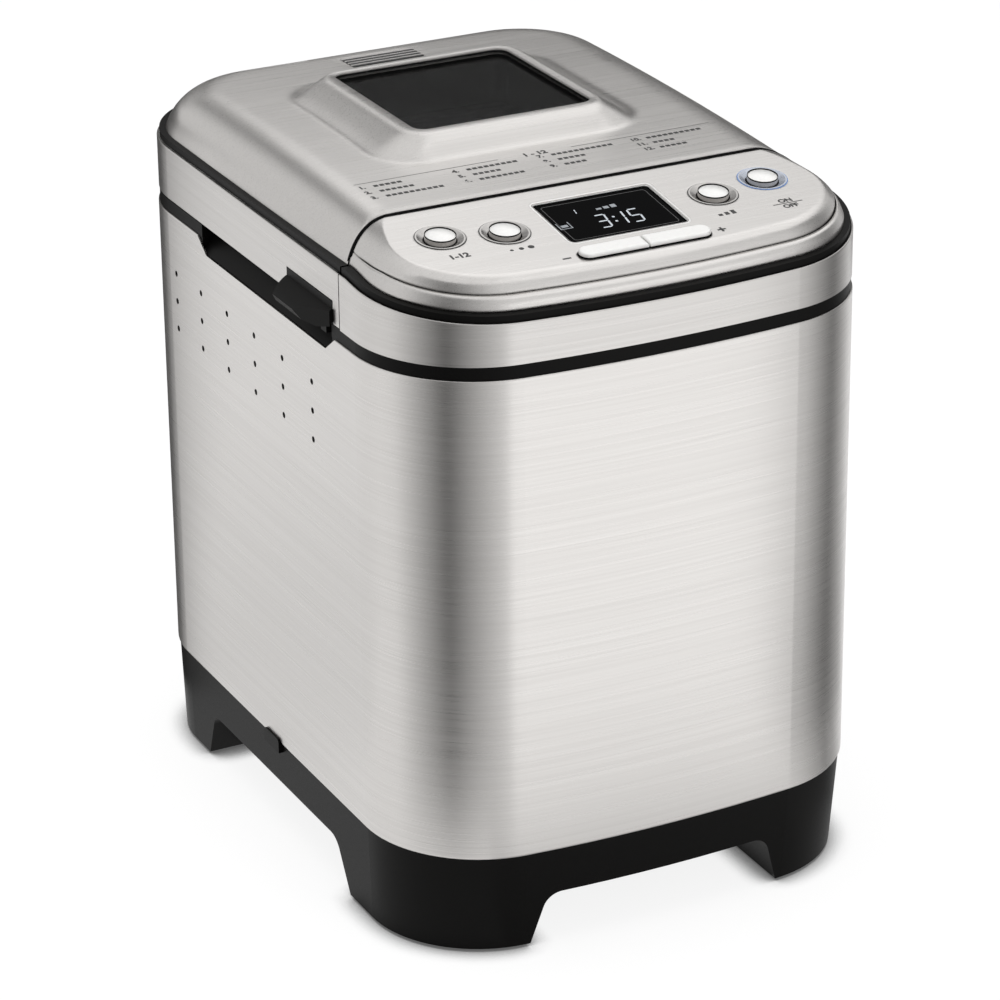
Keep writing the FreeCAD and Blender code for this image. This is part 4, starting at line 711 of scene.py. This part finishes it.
# List on the lid: plain numbers, each with a row of dashes, below a header line
LIST_COLUMNS = (-95.0 * MM, -45.5 * MM, 0.5 * MM, 53.0 * MM)
LIST_ROWS = (-53.0 * MM, -60.0 * MM, -67.0 * MM)
LIST_DASHES = ((5, 6, 10), (9, 5, 8), (11, 5, 4), (10, 4, 5))
LIST_HEIGHT = 3.2 * MM
LIST_INDENT = 6.0 * MM
DASH_WIDTH = 2.3 * MM
DASH_STEP = 3.1 * MM
DASH_HEIGHT = 2.3 * MM
HEADER_Y = -46.5 * MM
HEADER_REACH = 97.0 * MM
HEADER_GAP = 20.0 * MM
HEADER_HEIGHT = 3.8 * MM
HEADER_HALF_STROKE = 0.15 * MM


def program_list():
    mesh = bmesh.new()
    number = 0
    for column, dashes in zip(LIST_COLUMNS, LIST_DASHES):
        for row, count in zip(LIST_ROWS, dashes):
            number += 1
            add_words(mesh, f"{number}.", LIST_HEIGHT, column, row)
            for i in range(count):
                x = column + LIST_INDENT + i * DASH_STEP
                add_bar(mesh, x, x + DASH_WIDTH, row, row + DASH_HEIGHT)
    for side in (-1, 1):
        x0, x1 = sorted((side * HEADER_GAP, side * HEADER_REACH))
        add_bar(mesh, x0, x1, HEADER_Y - HEADER_HALF_STROKE, HEADER_Y + HEADER_HALF_STROKE)
    add_words(mesh, "1 - 12", HEADER_HEIGHT, 0, HEADER_Y - HEADER_HEIGHT / 2)
    lay("program_list", mesh, on_crown, INK_BLACK, body="lid")


# Buttons: a thin dark line at the joint round each dished ring, which also paints the shade on the dish's
# edge, blue round the start button, and a black ring of painted shade in the gap round each cap.
# The profiles are in millimetres.
OUTLINE_PROFILE = ((0, -0.3), (0.45, -0.3), (0.45, 0.06), (0, 0.06))
GAP_SHADE_PROFILE = ((0.1, -2.4), (0.75, -2.4), (0.75, -1.5), (0.1, -1.5))
CAP_PLACES = {
    "program_button": (-OUTER_BUTTON[0], OUTER_BUTTON[1]),
    "crust_button": (-INNER_BUTTON[0], INNER_BUTTON[1]),
    "size_button": INNER_BUTTON,
    "start_button": OUTER_BUTTON,
}


# Dark line at the joint round each ring, which also paints the shade on the dish's edge; blue round the
# start button
def button_outlines():
    dark = bmesh.new()
    blue = bmesh.new()
    for body, place in CAP_PLACES.items():
        mesh = blue if body == "start_button" else dark
        add_ring(mesh, circle(*place, RING_RADIUS), in_mm(OUTLINE_PROFILE))
    lay("button_outlines", dark, on_panel, MATERIALS["switch_black"])
    lay("start_outline", blue, on_panel, BLUE_LINE)


def cap_gap_shades():
    """Black ring round each cap, at the foot of its dished ring, which paints the shade in the gap."""
    mesh = bmesh.new()
    for place in CAP_PLACES.values():
        add_ring(mesh, circle(*place, CAP_RADIUS), in_mm(GAP_SHADE_PROFILE))
    lay("cap_gap_shades", mesh, on_panel, SHADOW_BLACK)


# Sides of the button caps and keys, which move with them: a dark line of painted shade, and grey below it
# on the caps
KEY_LENGTH = 34.5 * MM
KEY_HALF = 4.8 * MM
KEY_GAP = 0.4 * MM
KEY_SIDES = {"minus_key": -1, "plus_key": 1}
COAT_OFFSETS = (0.02 * MM, 0.12 * MM)
CAP_SIDE = (-1.7 * MM, 1.1 * MM)
CAP_SHADE_LINE = (1.1 * MM, 1.8 * MM)
KEY_SHADE_LINE = (-0.6 * MM, 0.7 * MM)


def key_outline(side, steps=24):
    """Bar with a square inner end and a round outer end, to the given side of the middle."""
    def outline(offset):
        half = KEY_HALF + offset
        turns = [math.radians(-90 + 180 * i / steps) for i in range(steps + 1)]
        end = KEY_LENGTH - KEY_HALF
        points = [(end + half * math.cos(turn), KEY_ROW + half * math.sin(turn)) for turn in turns]
        points += [(KEY_GAP - offset, KEY_ROW + half), (KEY_GAP - offset, KEY_ROW - half)]
        return [(side * u, v) for u, v in points]
    return outline


def coat(name, body, outline, heights, material):
    near, far = COAT_OFFSETS
    low, high = heights
    mesh = bmesh.new()
    add_ring(mesh, outline, [(near, low), (far, low), (far, high), (near, high)])
    lay(body + name, mesh, on_panel, material, body=body)


def button_sides():
    for body, place in CAP_PLACES.items():
        cap = circle(*place, CAP_RADIUS)
        coat("_side", body, cap, CAP_SIDE, RING_STEEL)
        # Black line of painted shade near the top of the cap's side
        coat("_line", body, cap, CAP_SHADE_LINE, SHADOW_BLACK)
    for body, side in KEY_SIDES.items():
        # Black line of painted shade along the key's lower side
        coat("_line", body, key_outline(side), KEY_SHADE_LINE, SHADOW_BLACK)


# Steam louvers: a black strip in each slot of the lid, which paints the shade inside the slot
LOUVER_Y = (117.7 * MM, 121.7 * MM, 125.7 * MM, 129.7 * MM)
LOUVER_HALF_LENGTH = 20.5 * MM
LOUVER_HALF_WIDTH = 1.0 * MM
SLOT_SHADE_GAP = 0.05 * MM
SLOT_SHADE_LOW = -0.9 * MM
SLOT_SHADE_HIGH = 0.4 * MM


def louver_shades():
    mesh = bmesh.new()
    for y in LOUVER_Y:
        front = y - LOUVER_HALF_WIDTH
        back = y + LOUVER_HALF_WIDTH
        slot = rounded_rectangle(LOUVER_HALF_LENGTH, front, back, LOUVER_HALF_WIDTH)
        add_prism(mesh, slot(-SLOT_SHADE_GAP), SLOT_SHADE_LOW, SLOT_SHADE_HIGH)
    lay("louver_shades", mesh, on_crown, MATERIALS["switch_black"], body="lid")


# Painted shade on the lid's front edge: a thin black strip that lies over the gap to the control head and
# paints the shade in it
SEAM_Y = -88.3 * MM
SEAM_STRAIGHT = 100.0 * MM
SEAM_BEND = 37.6 * MM
SEAM_TURN = math.radians(37)
SEAM_SHADE_HALF = 1.2 * MM
SEAM_SHADE_GAP = 0.03 * MM
SEAM_SHADE_THICKNESS = 0.2 * MM
ABOVE_ALL = 0.5


def seam_stations(bend_steps=24, straight_steps=20):
    """Places along the seam from left to right in plan, each with the direction towards the lid."""
    stations = []
    for i in range(bend_steps):
        turn = SEAM_TURN * (1 - i / bend_steps)
        inward = Vector((-math.sin(turn), math.cos(turn), 0))
        stations.append((Vector((-SEAM_STRAIGHT, SEAM_Y - SEAM_BEND, 0)) + inward * SEAM_BEND, inward))
    for i in range(straight_steps + 1):
        x = SEAM_STRAIGHT * (i / straight_steps - 1)
        stations.append((Vector((x, SEAM_Y, 0)), Vector((0, 1, 0))))
    flip = Vector((-1, 1, 1))
    return stations + [(place * flip, inward * flip) for place, inward in reversed(stations[:-1])]


def seam_shade():
    view = bpy.context.evaluated_depsgraph_get()
    lid = BVHTree.FromObject(NODES["lid_cover"], view)
    head = BVHTree.FromObject(NODES["control_panel"], view)
    heights = (SEAM_SHADE_GAP, SEAM_SHADE_GAP + SEAM_SHADE_THICKNESS)
    mesh = bmesh.new()
    sections = []
    for place, inward in seam_stations():
        section = []
        for tree, shift, rises in ((lid, SEAM_SHADE_HALF, heights), (head, -SEAM_SHADE_HALF, heights[::-1])):
            above = place + inward * shift + Vector((0, 0, ABOVE_ALL))
            hit, normal = tree.ray_cast(above, Vector((0, 0, -1)))[:2]
            section += [hit + normal * rise for rise in rises]
        sections.append([mesh.verts.new(corner) for corner in section])
    for this, following in zip(sections, sections[1:]):
        add_sides(mesh, this, following)
    mesh.faces.new(reversed(sections[0]))
    mesh.faces.new(sections[-1])
    lay("seam_shade", mesh, in_place, SHADOW_BLACK, body="lid")


# Floor: white to the eye, with a dark contact shadow where something stands close to it
FLOOR_REACH = 6.0
FLOOR_TINT = (0.2, 0.2, 0.2, 1)
FLOOR_GLOW = 0.87
CONTACT_GLOW = 0.1
CONTACT_REACH = 18.0 * MM
BOUNCE_TINT = (0.8, 0.8, 0.8, 1)


def seen_by_eye(tree):
    """1 for rays from the camera, from gloss and through glass, 0 for the rest."""
    path = tree.nodes.new("ShaderNodeLightPath")
    first = tree.nodes.new("ShaderNodeMath")
    second = tree.nodes.new("ShaderNodeMath")
    for node in (first, second):
        node.operation = "MAXIMUM"
    tree.links.new(path.outputs["Is Camera Ray"], first.inputs[0])
    tree.links.new(path.outputs["Is Glossy Ray"], first.inputs[1])
    tree.links.new(first.outputs[0], second.inputs[0])
    tree.links.new(path.outputs["Is Transmission Ray"], second.inputs[1])
    return second.outputs[0]


def bare_material(name):
    """Material without any shader yet."""
    material = bpy.data.materials.new(name)
    material.use_nodes = True
    material.node_tree.nodes.clear()
    return material, material.node_tree


def floor_material():
    """White to the eye with the object's shadow on it, and plain grey to the light that it throws back."""
    material, tree = bare_material("white_sweep")
    shaded = tree.nodes.new("ShaderNodeBsdfDiffuse")
    shaded.inputs["Color"].default_value = FLOOR_TINT
    glow = tree.nodes.new("ShaderNodeEmission")
    tree.links.new(openness(tree, CONTACT_REACH, CONTACT_GLOW, FLOOR_GLOW), glow.inputs["Strength"])
    both = tree.nodes.new("ShaderNodeAddShader")
    bounce = tree.nodes.new("ShaderNodeBsdfDiffuse")
    bounce.inputs["Color"].default_value = BOUNCE_TINT
    choice = tree.nodes.new("ShaderNodeMixShader")
    out = tree.nodes.new("ShaderNodeOutputMaterial")
    tree.links.new(shaded.outputs[0], both.inputs[0])
    tree.links.new(glow.outputs[0], both.inputs[1])
    tree.links.new(seen_by_eye(tree), choice.inputs[0])
    tree.links.new(bounce.outputs[0], choice.inputs[1])
    tree.links.new(both.outputs[0], choice.inputs[2])
    tree.links.new(choice.outputs[0], out.inputs["Surface"])
    return material


def floor():
    mesh = bpy.data.meshes.new("floor")
    corners = [(x * FLOOR_REACH, y * FLOOR_REACH, 0) for x, y in ((-1, -1), (1, -1), (1, 1), (-1, 1))]
    mesh.from_pydata(corners, [], [(0, 1, 2, 3)])
    mesh.materials.append(floor_material())
    plane = bpy.data.objects.new("floor", mesh)
    bpy.context.scene.collection.objects.link(plane)


# Cards that only reflections see: near ones stand round a corner of the body, far ones round the machine.
# A band holds turns in degrees, each with a grey level.
CARD_LIFT = 1.0 * MM
MIDDLE = (0, 0)
LEFT_CORNER = (-0.067, -0.114)
RIGHT_CORNER = (0.067, -0.114)
BACK_CORNER = (-0.070, 0.108)
CLOSE_RADIUS = 0.09
CORNER_RADIUS = 0.2
LOW_RADIUS = 0.9
SHOULDER_RADIUS = 2.3
SIDE_RADIUS = 2.4
FAR_RADIUS = 2.5
HIGH_RADIUS = 2.6
LEFT_BAND = ((2, 1.0), (48, 0.12), (90, 1.0))
RIGHT_BAND = ((-106, 1.0), (-70, 0.15), (-28, 1.0))


def card_material():
    """Grey cloth that takes its level from the mesh."""
    material, tree = bare_material("flag_cloth")
    level = tree.nodes.new("ShaderNodeAttribute")
    level.attribute_name = "level"
    glow = tree.nodes.new("ShaderNodeEmission")
    out = tree.nodes.new("ShaderNodeOutputMaterial")
    tree.links.new(level.outputs["Fac"], glow.inputs["Strength"])
    tree.links.new(glow.outputs[0], out.inputs["Surface"])
    return material


CARD_CLOTH = card_material()


def between(stops, place):
    """Value at a place on a line through the stops."""
    for (a, low), (b, high) in zip(stops, stops[1:]):
        if place <= b:
            return low + (high - low) * (place - a) / (b - a)
    return stops[-1][1]


def card(name, turns, spans, place, steps=48):
    """turns and spans hold stops along the card's two directions, each with a grey level. The two levels
    are multiplied. place gives the point for a turn and a span."""
    data = bpy.data.meshes.new(name)
    places = []
    levels = []
    for i in range(steps + 1):
        turn = turns[0][0] + (turns[-1][0] - turns[0][0]) * i / steps
        for k in range(steps + 1):
            span = spans[0][0] + (spans[-1][0] - spans[0][0]) * k / steps
            places.append(place(math.radians(turn), span))
            levels.append(between(turns, turn) * between(spans, span))
    row = steps + 1
    corners = [i * row + k for i in range(steps) for k in range(steps)]
    data.from_pydata(places, [], [(c, c + row, c + row + 1, c + 1) for c in corners])
    data.attributes.new("level", "FLOAT", "POINT").data.foreach_set("value", levels)
    data.materials.append(CARD_CLOTH)
    holder = bpy.data.objects.new(name, data)
    bpy.context.scene.collection.objects.link(holder)
    holder.visible_camera = False
    holder.visible_diffuse = False
    holder.visible_transmission = False
    holder.visible_shadow = False


def around(centre, turn, radius, height):
    """Point at a turn round a centre, counted from the front towards the left."""
    return (centre[0] - radius * math.sin(turn), centre[1] - radius * math.cos(turn), height)


def upright_card(name, centre, radius, turns, heights):
    """Curved card. Turns are in degrees, heights in metres."""
    card(name, turns, heights, lambda turn, height: around(centre, turn, radius, height))


def floor_card(name, centre, turns, radii):
    """Card that lies on the floor. Turns are in degrees, radii in metres."""
    card(name, turns, radii, lambda turn, radius: around(centre, turn, radius, CARD_LIFT))


def corner_cards():
    """Dark bands on the body's corners."""
    upright_card("left_flag", LEFT_CORNER, CORNER_RADIUS, turns=LEFT_BAND,
                 heights=((0.0, 1.0), (0.5, 1.0)))
    upright_card("right_flag", RIGHT_CORNER, CORNER_RADIUS, turns=RIGHT_BAND,
                 heights=((0.0, 0.62), (0.14, 0.97), (0.5, 1.0)))
    floor_card("right_floor_flag", RIGHT_CORNER, turns=RIGHT_BAND,
               radii=((CLOSE_RADIUS, 1.0), (CORNER_RADIUS, 1.0)))
    upright_card("corner_flag", BACK_CORNER, CLOSE_RADIUS,
                 turns=((98, 1.0), (113, 0.9), (118, 0.7), (123, 0.3), (131, 0.06), (190, 0.05),
                        (215, 1.0)),
                 heights=((0.0, 1.0), (0.36, 1.0)))


def top_cards():
    """Tones of the lid, its shoulders and the control panel."""
    upright_card("back_flag", MIDDLE, FAR_RADIUS,
                 turns=((-172, 0.65), (-161, 1.1), (-147, 0.34), (-120, 0.34)),
                 heights=((0.0, 0.05), (1.2, 0.05), (1.52, 1.3), (1.9, 1.35)))
    upright_card("panel_card", MIDDLE, FAR_RADIUS,
                 turns=((-172, 0.9), (-158, 1.45), (-128, 1.65), (-110, 1.3)),
                 heights=((1.9, 1.0), (2.8, 1.0), (4.6, 0.9)))
    upright_card("high_card", MIDDLE, HIGH_RADIUS,
                 turns=((-172, 1.0), (-140, 1.4), (-20, 1.4), (0, 1.0)),
                 heights=((2.9, 1.0), (7.0, 1.0)))
    upright_card("shoulder_flag", MIDDLE, SHOULDER_RADIUS,
                 turns=((-196, 0.8), (-185, 0.1), (-180, 0.1), (-170, 0.8)),
                 heights=((1.2, 1.0), (2.6, 1.0)))
    upright_card("left_back_flag", MIDDLE, SIDE_RADIUS,
                 turns=((-265, 1.0), (-245, 0.86), (-190, 0.82)),
                 heights=((0.0, 1.0), (2.6, 1.0)))


def low_cards():
    """Tones of the floor as the walls mirror it, and a low dark card behind the machine."""
    floor_card("left_floor_flag", MIDDLE, turns=((100, 1.0), (120, 0.95), (170, 0.95), (178, 1.0)),
               radii=((0.14, 1.0), (0.3, 0.95), (0.42, 0.98), (0.6, 1.12), (1.2, 1.12)))
    upright_card("low_flag", MIDDLE, LOW_RADIUS, turns=((-190, 0.08), (-110, 0.08)),
                 heights=((0.0, 1.0), (0.55, 1.0)))
    floor_card("front_floor_card", MIDDLE, turns=((-60, 1.0), (-45, 1.2), (10, 1.2), (25, 1.0)),
               radii=((0.18, 0.5), (0.26, 0.6), (0.34, 1.06), (0.65, 1.2), (1.6, 1.2)))


# Lights, world and camera
WHITE = (1, 1, 1, 1)
BACKDROP = 1.0
FILL = 0.5
LAMP_AIM = Vector((0, 0, 0.2))


def softbox(name, place, size, power):
    lamp = bpy.data.lights.new(name, "AREA")
    lamp.shape = "RECTANGLE"
    lamp.size, lamp.size_y = size
    lamp.energy = power
    holder = bpy.data.objects.new(name, lamp)
    holder.location = place
    holder.rotation_mode = "QUATERNION"
    holder.rotation_quaternion = (LAMP_AIM - Vector(place)).to_track_quat("-Z", "Y")
    bpy.context.scene.collection.objects.link(holder)
    holder.visible_camera = False
    holder.visible_glossy = False


def lights():
    softbox("overhead", place=(-0.2, 0.1, 2.2), size=(2.0, 2.0), power=22.0)
    softbox("front", place=(0.5, -1.8, 0.9), size=(1.0, 1.4), power=6.0)


def world():
    """White to the eye, and a weaker fill light for everything else."""
    scene_world = bpy.data.worlds.new("studio")
    bpy.context.scene.world = scene_world
    scene_world.use_nodes = True
    tree = scene_world.node_tree
    back = tree.nodes["Background"]
    back.inputs["Color"].default_value = WHITE
    tree.links.new(mapped(tree, seen_by_eye(tree), (0.0, 1.0), (FILL, BACKDROP)), back.inputs["Strength"])


def camera():
    data = bpy.data.cameras.new("camera")
    data.sensor_width = SENSOR_WIDTH
    data.lens = FOCAL_SHARE * SENSOR_WIDTH
    data.clip_start = NEAR_CLIP
    data.clip_end = FAR_CLIP
    eye = bpy.data.objects.new("camera", data)
    bpy.context.scene.collection.objects.link(eye)
    level = math.cos(CAMERA_ELEVATION)
    back = Vector((math.sin(CAMERA_AZIMUTH) * level, -math.cos(CAMERA_AZIMUTH) * level,
                   math.sin(CAMERA_ELEVATION)))
    side = Vector((0, 0, 1)).cross(back).normalized()
    up = back.cross(side)
    turned_side = side * math.cos(CAMERA_ROLL) + up * math.sin(CAMERA_ROLL)
    turned_up = up * math.cos(CAMERA_ROLL) - side * math.sin(CAMERA_ROLL)
    pose = Matrix((turned_side, turned_up, back)).transposed().to_4x4()
    pose.translation = CAMERA_PLACE
    eye.matrix_world = pose
    bpy.context.scene.camera = eye


dress_cad_nodes()
display_digits()
display_signs()
display_frame_line()
display_bezel()
panel_marks()
program_list()
button_outlines()
cap_gap_shades()
button_sides()
louver_shades()
seam_shade()
floor()
corner_cards()
top_cards()
low_cards()
lights()
world()
camera()
bpy.context.scene.view_settings.view_transform = "Standard"
